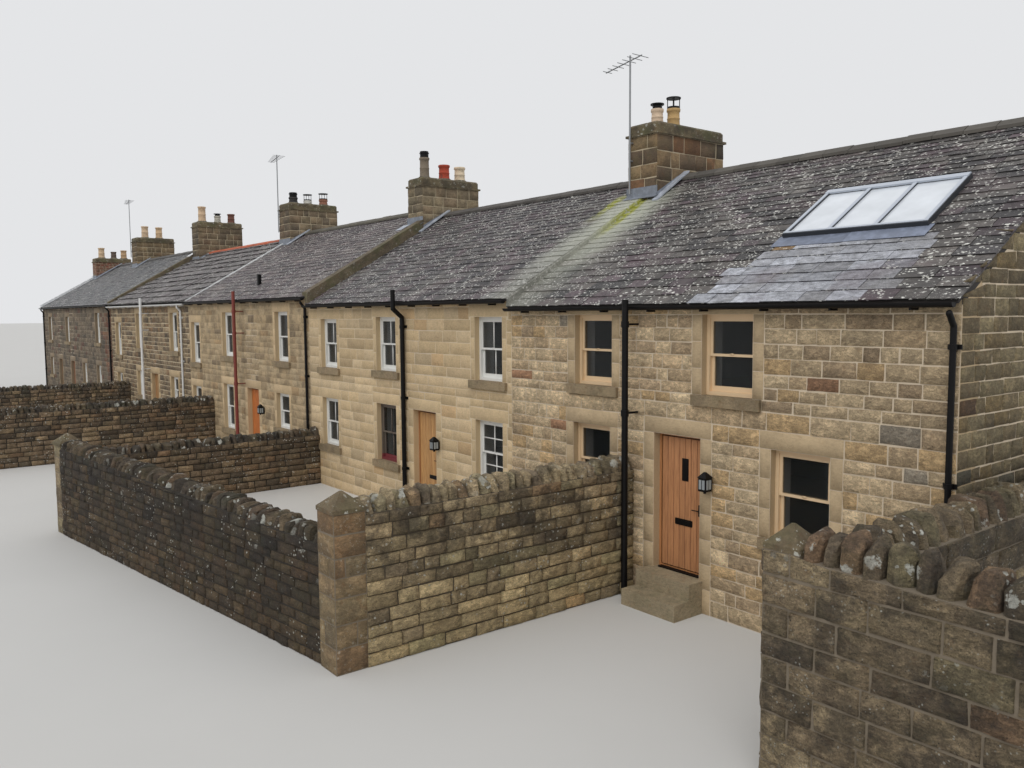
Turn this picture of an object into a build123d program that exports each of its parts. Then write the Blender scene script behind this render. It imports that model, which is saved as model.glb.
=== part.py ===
from build123d import *
import os
from math import atan2, cos, degrees, hypot, radians, sin, sqrt

# Scale of the model against the real row; every size below is the real one in millimetres
MODEL_SCALE = 0.5

# Walls and floors
WALL_T = 450
PARTY_T = 350
HOUSE_DEPTH = 8260
UPPER_FLOOR_T = 200
GROUND_FLOOR_T = 150

# Roof
EAVES_OUT = 100
ROOF_T = 118
EAVES_EDGE = 45
ROOF_JOINT = 20
RIDGE_TILE_T = 35
RIDGE_TILE_WING = 190

# Sash windows
WINDOW_W = 840
FRAME_SETBACK = 110
FRAME_DEPTH = 120
FRAME_FACE = 50
SASH_T = 40
SASH_STILE = 45
MEETING_RAIL = 36
BOTTOM_RAIL = 75
GLASS_T = 8
SILL_OUT = 60
SILL_EXTRA = 145
SILL_H = 150
SILL_SEAT = 30

# Front doors
DOOR_W = 860
DOOR_FRAME_FACE = 36
DOOR_FRAME_DEPTH = 56
DOOR_SETBACK = 130
DOOR_T = 46
DOOR_GAP = 14
HINGE_R = 10
HINGE_OFF = 20
HINGE_PLATE = 14
KNUCKLE = 50
HINGE_PLAY = 0.6
STEP_DROP = 30
STEP_OUT = 300
STEP_W = 1000

# Rainwater goods
GUTTER_R = 54
GUTTER_T = 9
GUTTER_OUT = 168
GUTTER_DROP = 32
PIPE_R = 34
PIPE_OUT = 56
SOIL_R = 48
SOIL_OUT = 72
SOIL_FRONT = 285
SOIL_ABOVE = 240

# Garden walls
GARDEN_T = 400

# The houses from the right to the left: width, eaves, ridge, threshold, upper floor
HOUSES = {
    "a": dict(width=7700, eaves=4350, ridge=6900, sill=497, upper=2800),
    "b": dict(width=8250, eaves=4490, ridge=6950, sill=320, upper=2680),
    "c": dict(width=9400, eaves=4680, ridge=7140, sill=200, upper=2560),
    "d": dict(width=10450, eaves=4660, ridge=6990, sill=140, upper=2440),
    "e": dict(width=15600, eaves=4730, ridge=7220, sill=80, upper=2520),
}

# Doors: distance of the middle from the house's right end, height of the head
DOORS = {
    "a": ("a", 3900, 2477),
    "b": ("b", 2910, 2250),
    "c": ("c", 3880, 2120),
    "d": ("d", 4200, 2050),
    "e1": ("e", 8150, 1960),
    "e2": ("e", 11150, 1960),
}

# Windows: distance of the middle from the house's right end, height of the head, height
WINDOWS = {
    "a": [(3045, 4200, 1140), (5630, 4200, 1140), (1905, 2466, 1200), (5665, 2466, 1200)],
    "b": [(700, 4170, 1210), (4430, 4170, 1210), (7180, 4120, 1210),
          (700, 2250, 1250), (4460, 2265, 1300), (7180, 2200, 1200)],
    "c": [(1750, 4315, 1370), (5800, 4315, 1370), (8780, 4000, 1370),
          (1770, 2110, 1000), (5850, 2120, 1420), (8780, 1880, 900)],
    "d": [(1700, 4335, 1400), (6100, 4320, 1400), (9300, 3950, 1400),
          (1800, 2045, 1000), (6200, 2045, 1000), (9300, 1830, 900)],
    "e": [(2550, 4370, 1400), (9080, 4190, 1300), (13550, 4190, 1300),
          (2600, 1960, 1000), (5500, 1960, 1000), (13550, 1960, 1000)],
}

# Plain windows of the back wall: distances from the house's right end, height
BACK_WINDOWS = {
    "a": [2000, 5600],
    "b": [2000, 6200],
    "c": [2200, 7200],
    "d": [2400, 8000],
    "e": [2400, 6200, 10000, 13500],
}
BACK_WINDOW_H = 1100
BACK_HEAD_UNDER_EAVES = 250
BACK_HEAD_OVER_FLOOR = 2000

# Chimney stacks: joint they stand on, shift of the middle to the right, width, front face, depth, cap top
STACKS = {
    "ab": dict(joint="a", shift=-50, width=760, front=3370, depth=2030, top=7950),
    "bc": dict(joint="b", shift=-255, width=740, front=3350, depth=1880, top=7950),
    "cd": dict(joint="c", shift=150, width=890, front=3450, depth=1850, top=8200),
    "de": dict(joint="d", shift=580, width=860, front=3550, depth=2000, top=8420),
    "ee": dict(joint="e", shift=6300, width=1000, front=3500, depth=1950, top=8430),
    "end": dict(joint="e", shift=450, width=860, front=2750, depth=1950, top=7620),
}
CAP_OUT = 12
CAP_LIP = 45
CAP_LIP_H = 45
CAP_ROUND = 70
CAP_H = 240

# Pots: stack, distance from the stack's front face, radius, height, cowl kind
POTS = [
    ("ab", 420, 118, 330, "disc"),
    ("ab", 905, 128, 400, "legs"),
    ("bc", 315, 130, 580, "drum"),
    ("bc", 965, 150, 440, "none"),
    ("bc", 1495, 150, 430, "none"),
    ("cd", 356, 150, 240, "drum"),
    ("cd", 912, 140, 160, "legs"),
    ("cd", 1530, 150, 240, "legs"),
    ("de", 331, 165, 700, "none"),
    ("de", 1030, 140, 330, "disc"),
    ("de", 1660, 155, 450, "none"),
    ("ee", 576, 175, 640, "none"),
    ("ee", 1310, 170, 620, "none"),
    ("end", 417, 170, 620, "none"),
    ("end", 1085, 150, 420, "none"),
    ("end", 1650, 165, 520, "none"),
]
POT_T = 28

# Stone copings that stand over the roofs on two party walls
COPING_W = 300
COPING_H = 110

# Rooflight in the front slope of the right house
LIGHT_X = (-3150, -1060)
LIGHT_Y = (1400, 2560)
LIGHT_UP = 95
LIGHT_FACE = 75
LIGHT_BAR = 50

RIDGE_Y = HOUSE_DEPTH / 2


def ends(name):
    """Right and left end of a house along the row."""
    right = 0
    for key, house in HOUSES.items():
        left = right - house["width"]
        if key == name:
            return right, left
        right = left
    raise ValueError(name)


def block(x0, x1, y0, y1, z0, z1):
    size = Box(abs(x1 - x0), abs(y1 - y0), abs(z1 - z0))
    return Pos((x0 + x1) / 2, (y0 + y1) / 2, (z0 + z1) / 2) * size


def along_x(points, x0, x1):
    """Prism along the row from a list of (y, z) corners."""
    corners = [(x0, y, z) for y, z in points]
    face = make_face(Polyline(*corners, close=True))
    return extrude(face, amount=x1 - x0, dir=(1, 0, 0))


def rod(start, finish, radius):
    """Round bar between two points."""
    delta = Vector(*finish) - Vector(*start)
    plane = Plane(origin=start, z_dir=delta)
    return extrude(plane * Circle(radius), amount=delta.length)


def join(pieces):
    """Solids fused to one shape."""
    whole = pieces[0]
    for piece in pieces[1:]:
        whole = whole + piece
    return whole


def group(pieces):
    """Solids that stay apart, kept in one file."""
    found = []
    for piece in pieces:
        found.extend(piece.solids())
    return Compound(children=found)


def save(name, shape):
    """Writes a shape at the scale of the model, measured from the row's origin."""
    whole = group([shape]).scale(MODEL_SCALE)
    found = whole.solids()
    export_step(found[0] if len(found) == 1 else group(found), "parts/" + name + ".step")


def roof_top(name, y):
    """Height of the top of a house's roof at a depth y."""
    house = HOUSES[name]
    near = y if y <= RIDGE_Y else HOUSE_DEPTH - y
    rise = house["ridge"] - house["eaves"]
    return house["eaves"] + rise * (near + EAVES_OUT) / (RIDGE_Y + EAVES_OUT)


def roof_under(name, y):
    return roof_top(name, y) - ROOF_T


def house_block(name, reach=600):
    """Everything under the top of a house's roof, used to trim what stands on it."""
    right, left = ends(name)
    if name == "a":
        right = right + reach
    if name == "e":
        left = left - reach
    back = HOUSE_DEPTH + reach
    points = [(-reach, 0), (back, 0), (back, roof_top(name, back))]
    points += [(RIDGE_Y, roof_top(name, RIDGE_Y)), (-reach, roof_top(name, -reach))]
    return along_x(points, left, right)


def trim_to_roofs(piece, names):
    for name in names:
        piece = piece - house_block(name)
    return piece


def window_boxes(name):
    """Openings of a house's front windows as x0, x1, z0, z1."""
    right, left = ends(name)
    found = []
    for offset, head, height in WINDOWS[name]:
        middle = right - offset
        found.append((middle - WINDOW_W / 2, middle + WINDOW_W / 2, head - height, head))
    return found


def back_window_boxes(name):
    right, left = ends(name)
    house = HOUSES[name]
    heads = (house["eaves"] - BACK_HEAD_UNDER_EAVES, house["sill"] + BACK_HEAD_OVER_FLOOR)
    found = []
    for offset in BACK_WINDOWS[name]:
        middle = right - offset
        for head in heads:
            x0 = middle - WINDOW_W / 2
            found.append((x0, x0 + WINDOW_W, head - BACK_WINDOW_H, head))
    return found


def doors_of(name):
    """Doorways of a house from the right to the left as key, x0, x1, head."""
    right, left = ends(name)
    found = []
    for key, (house, offset, head) in DOORS.items():
        if house == name:
            middle = right - offset
            found.append((key, middle - DOOR_W / 2, middle + DOOR_W / 2, head))
    return found


def wall_profile(name):
    top = [(WALL_T, roof_under(name, WALL_T)), (0, roof_under(name, 0))]
    return [(0, 0), (WALL_T, 0)] + top


def front_wall(name):
    """Front wall of a house beside its doorways, with the windows cut through."""
    right, left = ends(name)
    edges = [right]
    for key, x0, x1, head in doors_of(name):
        edges += [x1, x0]
    edges.append(left)
    pieces = []
    for start, finish in zip(edges[0::2], edges[1::2]):
        piece = along_x(wall_profile(name), finish, start)
        for x0, x1, z0, z1 in window_boxes(name):
            if x0 < start and x1 > finish:
                piece = piece - block(x0, x1, -10, WALL_T + 10, z0, z1)
        pieces.append(piece)
    return group(pieces)


def walls_over_doors():
    pieces = []
    for name in HOUSES:
        for key, x0, x1, head in doors_of(name):
            piece = along_x(wall_profile(name), x0, x1)
            piece = piece - block(x0 - 10, x1 + 10, -10, WALL_T + 10, -10, head)
            pieces.append(piece)
    return group(pieces)


def inner_ends(name):
    """Room side of the two cross walls of a house."""
    right, left = ends(name)
    near = right - (WALL_T if name == "a" else PARTY_T / 2)
    far = left + (WALL_T if name == "e" else PARTY_T / 2)
    return near, far


def back_walls():
    pieces = []
    for name in HOUSES:
        near, far = inner_ends(name)
        y0 = HOUSE_DEPTH - WALL_T
        top = [(HOUSE_DEPTH, roof_under(name, HOUSE_DEPTH)), (y0, roof_under(name, y0))]
        piece = along_x([(y0, 0), (HOUSE_DEPTH, 0)] + top, far, near)
        for x0, x1, z0, z1 in back_window_boxes(name):
            piece = piece - block(x0, x1, y0 - 10, HOUSE_DEPTH + 10, z0, z1)
        pieces.append(piece)
    return group(pieces)


def cross_wall(names, x0, x1):
    """Wall across the row up to the lower of the roofs beside it."""
    def under(y):
        return min(roof_under(name, y) for name in names)
    points = [(WALL_T, 0), (HOUSE_DEPTH, 0), (HOUSE_DEPTH, under(HOUSE_DEPTH))]
    points += [(RIDGE_Y, under(RIDGE_Y)), (WALL_T, under(WALL_T))]
    return along_x(points, x0, x1)


def party_walls():
    names = list(HOUSES)
    pieces = []
    for first, second in zip(names, names[1:]):
        joint = ends(first)[1]
        pieces.append(cross_wall([first, second], joint - PARTY_T / 2, joint + PARTY_T / 2))
    return group(pieces)


def floors():
    ground = []
    upper = []
    for name, house in HOUSES.items():
        near, far = inner_ends(name)
        y1 = HOUSE_DEPTH - WALL_T
        top = house["sill"] - STEP_DROP
        ground.append(block(far, near, WALL_T, y1, max(0, top - GROUND_FLOOR_T), top))
        upper.append(block(far, near, WALL_T, y1, house["upper"] - UPPER_FLOOR_T, house["upper"]))
    return group(ground), group(upper)


def roof_ends(name):
    right, left = ends(name)
    near = right if name == "a" else right - ROOF_JOINT / 2
    far = left if name == "e" else left + ROOF_JOINT / 2
    return near, far


def slope_points(name, side):
    def place(y):
        return y if side == "front" else HOUSE_DEPTH - y
    eave = -EAVES_OUT
    points = [(place(eave), roof_top(name, place(eave))), (RIDGE_Y, roof_top(name, RIDGE_Y))]
    points += [(RIDGE_Y, roof_under(name, RIDGE_Y)), (place(0), roof_under(name, place(0)))]
    points += [(place(y), roof_top(name, place(y)) - EAVES_EDGE) for y in (0, eave)]
    return points


def roof(side):
    pieces = []
    for name in HOUSES:
        near, far = roof_ends(name)
        piece = along_x(slope_points(name, side), far, near)
        if name == "a" and side == "front":
            y0 = LIGHT_Y[0] + LIGHT_FACE
            y1 = LIGHT_Y[1] - LIGHT_FACE
            x0 = LIGHT_X[0] + LIGHT_FACE
            x1 = LIGHT_X[1] - LIGHT_FACE
            piece = piece - block(x0, x1, y0, y1, 3000, 8000)
        pieces.append(piece)
    return group(pieces)


def stack_box(key):
    stack = STACKS[key]
    middle = ends(stack["joint"])[1] + stack["shift"]
    x0 = middle - stack["width"] / 2
    return x0, x0 + stack["width"], stack["front"], stack["front"] + stack["depth"], stack["top"]


def houses_under(x0, x1):
    """Houses whose roofs lie under a stretch of the row."""
    found = []
    for name in HOUSES:
        right, left = ends(name)
        if x0 < right and x1 > left:
            found.append(name)
    return found


def chimney_stacks():
    pieces = []
    for key in STACKS:
        x0, x1, y0, y1, top = stack_box(key)
        piece = block(x0, x1, y0, y1, 4000, top - CAP_H)
        pieces.append(trim_to_roofs(piece, houses_under(x0, x1)))
    return group(pieces)


def chimney_caps():
    """Thick cap with rounded corners over a thin oversailing lip."""
    pieces = []
    for key in STACKS:
        x0, x1, y0, y1, top = stack_box(key)
        foot = top - CAP_H
        seat = foot + CAP_LIP_H
        lip = block(x0 - CAP_LIP, x1 + CAP_LIP, y0 - CAP_LIP, y1 + CAP_LIP, foot, seat)
        slab = block(x0 - CAP_OUT, x1 + CAP_OUT, y0 - CAP_OUT, y1 + CAP_OUT, seat, top)
        slab = fillet(slab.edges().filter_by(Axis.Z), CAP_ROUND)
        slab = chamfer(slab.faces().sort_by(Axis.Z)[-1].edges(), CAP_ROUND * 0.6)
        pieces.append(lip + slab)
    return group(pieces)


def pot_place(key, inset):
    x0, x1, y0, y1, top = stack_box(key)
    return (x0 + x1) / 2, y0 + inset, top


def chimney_pots():
    pieces = []
    for key, inset, radius, height, cowl in POTS:
        x, y, top = pot_place(key, inset)
        outer = [(0, 0), (radius * 1.12, 0), (radius * 1.12, 60), (radius, 90)]
        outer += [(radius * 0.94, height - 60), (radius * 1.08, height - 50)]
        outer += [(radius * 1.08, height), (0, height)]
        face = make_face(Polyline(*[(u, 0, v) for u, v in outer], close=True))
        pot = revolve(face, axis=Axis.Z)
        pot = pot - Pos(0, 0, height / 2) * Cylinder(radius - POT_T, height + 10)
        pieces.append(Pos(x, y, top) * pot)
    return group(pieces)


def chimney_cowls():
    """Metal covers: a flat disc on a spigot, a drum with a brim, or a disc on four legs."""
    pieces = []
    for key, inset, radius, height, cowl in POTS:
        x, y, top = pot_place(key, inset)
        z = top + height
        if cowl == "disc":
            spigot = Pos(0, 0, 40) * Cylinder(radius * 0.8, 80)
            disc = Pos(0, 0, 92) * Cylinder(radius * 1.15, 24)
            pieces.append(Pos(x, y, z) * (spigot + disc))
        if cowl == "drum":
            drum = Pos(0, 0, 85) * Cylinder(radius * 0.9, 170)
            brim = Pos(0, 0, 120) * Cylinder(radius * 1.02, 24)
            pieces.append(Pos(x, y, z) * (drum + brim))
        if cowl == "legs":
            ring = Pos(0, 0, 20) * (Cylinder(radius * 1.02, 40) - Cylinder(radius * 0.86, 60))
            disc = Pos(0, 0, 212) * Cylinder(radius * 1.15, 24)
            legs = []
            for turn in range(4):
                angle = radians(45 + 90 * turn)
                place = Pos(radius * 0.94 * cos(angle), radius * 0.94 * sin(angle), 120)
                legs.append(place * Cylinder(9, 168))
            pieces.append(Pos(x, y, z) * join([ring, disc] + legs))
    return group(pieces)


def ridge_tiles():
    """Angular ridge between the stacks, lying on both slopes."""
    cuts = [stack_box(key)[:2] for key in STACKS]
    pieces = []
    for name in HOUSES:
        near, far = roof_ends(name)
        run = [(far, near)]
        for x0, x1 in cuts:
            rest = []
            for a, b in run:
                if x0 >= b or x1 <= a:
                    rest.append((a, b))
                    continue
                if x0 > a:
                    rest.append((a, x0))
                if x1 < b:
                    rest.append((x1, b))
            run = rest
        wing = RIDGE_TILE_WING
        low = roof_top(name, RIDGE_Y - wing)
        points = [(RIDGE_Y - wing, low), (RIDGE_Y, roof_top(name, RIDGE_Y))]
        points += [(RIDGE_Y + wing, low), (RIDGE_Y + wing, low + RIDGE_TILE_T)]
        points += [(RIDGE_Y, roof_top(name, RIDGE_Y) + RIDGE_TILE_T), (RIDGE_Y - wing, low + RIDGE_TILE_T)]
        for a, b in run:
            if b - a > 60:
                pieces.append(along_x(points, a, b))
    return group(pieces)


def coping_run(joint, y0, y1):
    """Raised stone strip up a slope over the joint of two roofs."""
    names = houses_under(joint - 50, joint + 50)
    x0 = joint - COPING_W / 2
    x1 = joint + COPING_W / 2

    def over(y):
        return max(roof_top(name, y) for name in names) + COPING_H
    points = [(y0, 3900), (y1, 3900), (y1, over(y1)), (y0, over(y0))]
    return trim_to_roofs(along_x(points, x0, x1), names)


def roof_copings():
    pieces = []
    for key, stack in (("b", "bc"), ("d", "de")):
        joint = ends(key)[1]
        x0, x1, y0, y1, top = stack_box(stack)
        if joint - COPING_W / 2 < x1 and joint + COPING_W / 2 > x0:
            pieces.append(coping_run(joint, -EAVES_OUT, y0))
            pieces.append(coping_run(joint, y1, HOUSE_DEPTH + EAVES_OUT))
        else:
            pieces.append(coping_run(joint, -EAVES_OUT, RIDGE_Y - RIDGE_TILE_WING))
            pieces.append(coping_run(joint, RIDGE_Y + RIDGE_TILE_WING, HOUSE_DEPTH + EAVES_OUT))
    return group(pieces)


def ring(x0, x1, z0, z1, y0, y1, side, top, bottom):
    """Rectangular frame with its own widths for the sides, top and bottom."""
    outer = block(x0, x1, y0, y1, z0, z1)
    return outer - block(x0 + side, x1 - side, y0 - 5, y1 + 5, z0 + bottom, z1 - top)


def sash_window(x0, x1, z0, z1):
    """Box frame, upper sash in front, lower sash behind it and the two panes."""
    y0 = FRAME_SETBACK
    base = z0 + SILL_SEAT
    frame = ring(x0, x1, base, z1, y0, y0 + FRAME_DEPTH, FRAME_FACE, FRAME_FACE, FRAME_FACE)
    ix0 = x0 + FRAME_FACE
    ix1 = x1 - FRAME_FACE
    iz0 = base + FRAME_FACE
    iz1 = z1 - FRAME_FACE
    middle = (iz0 + iz1) / 2
    y_up = y0 + 15
    y_low = y_up + SASH_T
    half = MEETING_RAIL / 2
    upper = ring(ix0, ix1, middle - half, iz1, y_up, y_up + SASH_T, SASH_STILE, SASH_STILE,
                 MEETING_RAIL)
    lower = ring(ix0, ix1, iz0, middle + half, y_low, y_low + SASH_T, SASH_STILE, MEETING_RAIL,
                 BOTTOM_RAIL)
    gx0 = ix0 + SASH_STILE
    gx1 = ix1 - SASH_STILE
    gy = y_up + SASH_T / 2
    high_pane = block(gx0, gx1, gy - GLASS_T / 2, gy + GLASS_T / 2, middle + half,
                      iz1 - SASH_STILE)
    gy = y_low + SASH_T / 2
    low_pane = block(gx0, gx1, gy - GLASS_T / 2, gy + GLASS_T / 2, iz0 + BOTTOM_RAIL,
                     middle - half)
    return frame, upper, lower, high_pane, low_pane


def front_windows(names):
    frames = []
    uppers = []
    lowers = []
    panes = []
    for name in names:
        for x0, x1, z0, z1 in window_boxes(name):
            frame, upper, lower, high_pane, low_pane = sash_window(x0, x1, z0, z1)
            frames.append(frame)
            uppers.append(upper)
            lowers.append(lower)
            panes += [high_pane, low_pane]
    return group(frames), group(uppers), group(lowers), panes


def back_windows():
    frames = []
    panes = []
    y1 = HOUSE_DEPTH - FRAME_SETBACK
    y0 = y1 - 70
    for name in HOUSES:
        for x0, x1, z0, z1 in back_window_boxes(name):
            frame = ring(x0, x1, z0, z1, y0, y1, 70, 70, 70)
            frame = frame + block(x0 + 70, x1 - 70, y0 + 10, y1 - 10, (z0 + z1) / 2 - 25,
                                  (z0 + z1) / 2 + 25)
            frames.append(frame)
            mid = (y0 + y1) / 2
            for low, high in ((z0 + 70, (z0 + z1) / 2 - 25), ((z0 + z1) / 2 + 25, z1 - 70)):
                panes.append(block(x0 + 70, x1 - 70, mid - 4, mid + 4, low, high))
    return group(frames), group(panes)


def window_sills():
    pieces = []
    for name in HOUSES:
        for x0, x1, z0, z1 in window_boxes(name):
            seat = block(x0, x1, 0, FRAME_SETBACK + FRAME_DEPTH, z0, z0 + SILL_SEAT)
            nose = block(x0 - SILL_EXTRA, x1 + SILL_EXTRA, -SILL_OUT, 0,
                         z0 + SILL_SEAT - SILL_H, z0 + SILL_SEAT)
            pieces.append(seat + nose)
    return group(pieces)


def door_levels(key):
    name, offset, head = DOORS[key]
    right, left = ends(name)
    middle = right - offset
    return middle - DOOR_W / 2, middle + DOOR_W / 2, HOUSES[name]["sill"], head


def hinge_axis(key):
    """Middle of the hinge line in plan."""
    x0, x1, sill, head = door_levels(key)
    return x0 + DOOR_FRAME_FACE + DOOR_GAP / 2, DOOR_SETBACK + DOOR_FRAME_DEPTH + HINGE_OFF


def hinge_levels(key):
    x0, x1, sill, head = door_levels(key)
    tall = head - sill
    return [sill + tall * part for part in (0.13, 0.5, 0.87)]


def knuckle(key, low, high, side):
    """Round of a hinge with its plate on the leaf (side 1) or on the jamb (side -1)."""
    x, y = hinge_axis(key)
    back = y - HINGE_OFF
    barrel = Pos(x, y, (low + high) / 2) * Cylinder(HINGE_R, high - low)
    return barrel + block(x, x + side * 38, back, back + HINGE_PLATE, low, high)


def door_frames():
    """Jambs and head round each leaf with a threshold bar under it and the fixed knuckles."""
    pieces = []
    for key in DOORS:
        x0, x1, sill, head = door_levels(key)
        y0 = DOOR_SETBACK
        piece = block(x0, x1, y0, y0 + DOOR_FRAME_DEPTH, sill - STEP_DROP, head)
        face = DOOR_FRAME_FACE
        piece = piece - block(x0 + face, x1 - face, y0 - 5, y0 + DOOR_FRAME_DEPTH + 5, sill,
                              head - face)
        reach = KNUCKLE / 2 + HINGE_PLAY
        for level in hinge_levels(key):
            piece = piece + knuckle(key, level + reach, level + reach + KNUCKLE, -1)
            piece = piece + knuckle(key, level - reach - KNUCKLE, level - reach, -1)
        pieces.append(piece)
    return group(pieces)


def door_leaf(key):
    """Leaf flush with the room side of its frame, with the moving knuckles."""
    x0, x1, sill, head = door_levels(key)
    inset = DOOR_FRAME_FACE + DOOR_GAP
    y1 = DOOR_SETBACK + DOOR_FRAME_DEPTH
    leaf = block(x0 + inset, x1 - inset, y1 - DOOR_T, y1, sill + DOOR_GAP, head - inset)
    for level in hinge_levels(key):
        leaf = leaf + knuckle(key, level - KNUCKLE / 2, level + KNUCKLE / 2, 1)
    return leaf


def doorsteps():
    """Stone under each threshold with one or two steps in front of it."""
    pieces = []
    for key in DOORS:
        x0, x1, sill, head = door_levels(key)
        top = sill - STEP_DROP
        middle = (x0 + x1) / 2
        piece = block(x0, x1, 0, WALL_T, 0, top)
        piece = piece + block(middle - STEP_W / 2, middle + STEP_W / 2, -STEP_OUT, 0, 0, top)
        if top > 350:
            wide = STEP_W / 2
            piece = piece + block(middle - wide, middle + wide, -2 * STEP_OUT, -STEP_OUT, 0, top / 2)
        pieces.append(piece)
    return group(pieces)


def gutter(name):
    """Half-round gutter on arms from the wall."""
    near, far = roof_ends(name)
    near = near - 15
    far = far + 15
    z = HOUSES[name]["eaves"] - GUTTER_DROP
    tube = rod((far, -GUTTER_OUT, z), (near, -GUTTER_OUT, z), GUTTER_R)
    hollow = rod((far + GUTTER_T, -GUTTER_OUT, z), (near - GUTTER_T, -GUTTER_OUT, z),
                 GUTTER_R - GUTTER_T)
    shell = tube - hollow - block(far - 10, near + 10, -GUTTER_OUT - 100, -GUTTER_OUT + 100, z, z + 100)
    right, left = ends(name)
    count = max(3, round((right - left) / 950))
    step = (right - left) / count
    arms = []
    for index in range(count):
        x = right - step * (index + 0.5)
        arms.append(block(x - 15, x + 15, -GUTTER_OUT, 0, z - GUTTER_R - 26, z - GUTTER_R + 3))
    return join([shell] + arms)


def wall_pipe(x, out, radius, points, level):
    """Pipe through its points, with collars and clips on the wall from a level downwards."""
    parts = []
    for start, finish in zip(points, points[1:]):
        parts.append(rod(start, finish, radius))
    parts += [Pos(*bend) * Sphere(radius) for bend in points[1:-1]]
    while level > 200:
        collar = Pos(x, -out, level) * Cylinder(radius + 9, 60)
        lug = block(x - radius - 41, x + radius + 41, -18, 0, level - 28, level + 28)
        web = block(x - 20, x + 20, -out, 0, level - 20, level + 20)
        parts += [collar, lug, web]
        level = level - 1500
    return join(parts)


def swan_neck(name, offset):
    """Downpipe from a gutter outlet, back to the wall and down to the ground."""
    x = ends(name)[0] - offset
    centre = HOUSES[name]["eaves"] - GUTTER_DROP
    z = centre - GUTTER_R
    points = [(x, -GUTTER_OUT, z + 3), (x, -GUTTER_OUT, z - 60), (x, -PIPE_OUT, z - 200), (x, -PIPE_OUT, 0)]
    near, far = roof_ends(name)
    hollow = rod((far, -GUTTER_OUT, centre), (near, -GUTTER_OUT, centre), GUTTER_R)
    return wall_pipe(x, PIPE_OUT, PIPE_R, points, z - 420) - hollow


def soil_pipe(name, offset):
    """Open-topped pipe that passes in front of the gutter, bends back and runs down the wall."""
    x = ends(name)[0] - offset
    z = HOUSES[name]["eaves"]
    points = [(x, -SOIL_FRONT, z + SOIL_ABOVE), (x, -SOIL_FRONT, z - 150)]
    points += [(x, -SOIL_OUT, z - 330), (x, -SOIL_OUT, 0)]
    return wall_pipe(x, SOIL_OUT, SOIL_R, points, z - 520)


def tall_pipe(x, top, levels):
    """Straight soil pipe in front of the gutter, on a long bracket at each level."""
    y = -SOIL_FRONT
    parts = [rod((x, y, 0), (x, y, top), SOIL_R)]
    for level in levels:
        parts.append(Pos(x, y, level) * Cylinder(SOIL_R + 11, 90))
        parts.append(block(x - 14, x + 14, y, 0, level - 14, level + 14))
    return join(parts)


def tall_pipe_at(name, offset):
    z = HOUSES[name]["eaves"]
    return tall_pipe(ends(name)[0] - offset, z + SOIL_ABOVE, [z - 340, z - 970, z - 2450])


# Downpipes and soil pipes: house, distance from the house's right end
PIPES_BLACK = [("a", 60), ("c", 120), ("e", 180), ("e", 15200)]
SOIL_BLACK = ("b", 3610)
SOIL_RED = ("c", 4440)
SOIL_WHITE = ("d", 4755)
PIPE_CREAM = ("d", 700)
VENT_X = -4650
VENT_TOP = 4420
# Short vent through the third roof: place, half its width, height over the slates
ROOF_VENT = (-20730, 650)
ROOF_VENT_HALF = 50
ROOF_VENT_H = 330


def roof_vent():
    x, y = ROOF_VENT
    top = roof_top("c", y)
    half = ROOF_VENT_HALF
    pipe = block(x - half, x + half, y - half, y + half, top - 60, top + ROOF_VENT_H)
    return trim_to_roofs(pipe, ["c"])


# Lanterns: house, distance from the right end of it, height of the foot
LANTERNS = [("a", 3290, 1760), ("b", 2380, 1500), ("c", 3070, 1440)]
LANTERN_W = 130
LANTERN_H = 210


def lantern(name, offset, z):
    """Wall plate, arm, square body and a pyramid lid."""
    x = ends(name)[0] - offset
    y = -115
    half = LANTERN_W / 2
    plate = block(x - 35, x + 35, -16, 0, z + 30, z + 190)
    arm = block(x - 14, x + 14, y, 0, z + 5, z + 33)
    body = block(x - half, x + half, y - half, y + half, z + 20, z + LANTERN_H)
    lid = loft([Plane((x, y, z + LANTERN_H)) * Rectangle(LANTERN_W + 24, LANTERN_W + 24),
                Plane((x, y, z + LANTERN_H + 75)) * Rectangle(30, 30)])
    foot = Pos(x, y, z + 5) * Cylinder(20, 36)
    return join([plate, arm, body, lid, foot])


def rooflight():
    """Upstand frame with two bars and three panes, lying in the front slope."""
    rise = HOUSES["a"]["ridge"] - HOUSES["a"]["eaves"]
    pitch = atan2(rise, RIDGE_Y + EAVES_OUT)
    x0, x1 = LIGHT_X
    y0, y1 = LIGHT_Y
    length = (y1 - y0) / cos(pitch)
    origin = ((x0 + x1) / 2, y0, roof_top("a", y0))
    plane = Plane(origin=origin, x_dir=(1, 0, 0), z_dir=(0, -sin(pitch), cos(pitch)))
    half = (x1 - x0) / 2

    def local(u0, u1, v0, v1, w0, w1):
        size = Box(u1 - u0, v1 - v0, w1 - w0)
        return plane * (Pos((u0 + u1) / 2, (v0 + v1) / 2, (w0 + w1) / 2) * size)
    face = LIGHT_FACE
    frame = local(-half, half, 0, length, 0, LIGHT_UP)
    frame = frame - local(-half + face, half - face, face, length - face, -10, LIGHT_UP + 10)
    clear = 2 * half - 2 * face
    pane = (clear - 2 * LIGHT_BAR) / 3
    panes = []
    bars = []
    for index in range(3):
        u = -half + face + index * (pane + LIGHT_BAR)
        panes.append(local(u, u + pane, face, length - face, LIGHT_UP - 40, LIGHT_UP - 24))
        if index < 2:
            bars.append(local(u + pane, u + pane + LIGHT_BAR, face, length - face,
                              LIGHT_UP - 70, LIGHT_UP))
    return join([frame] + bars), group(panes)


# Aerials: foot of the mast, height of its top, length of the boom
AERIALS = [("ab", 6600, 9300, 900), ("cd", 7200, 9950, 700), ("ee", 7400, 10500, 700)]


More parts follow.
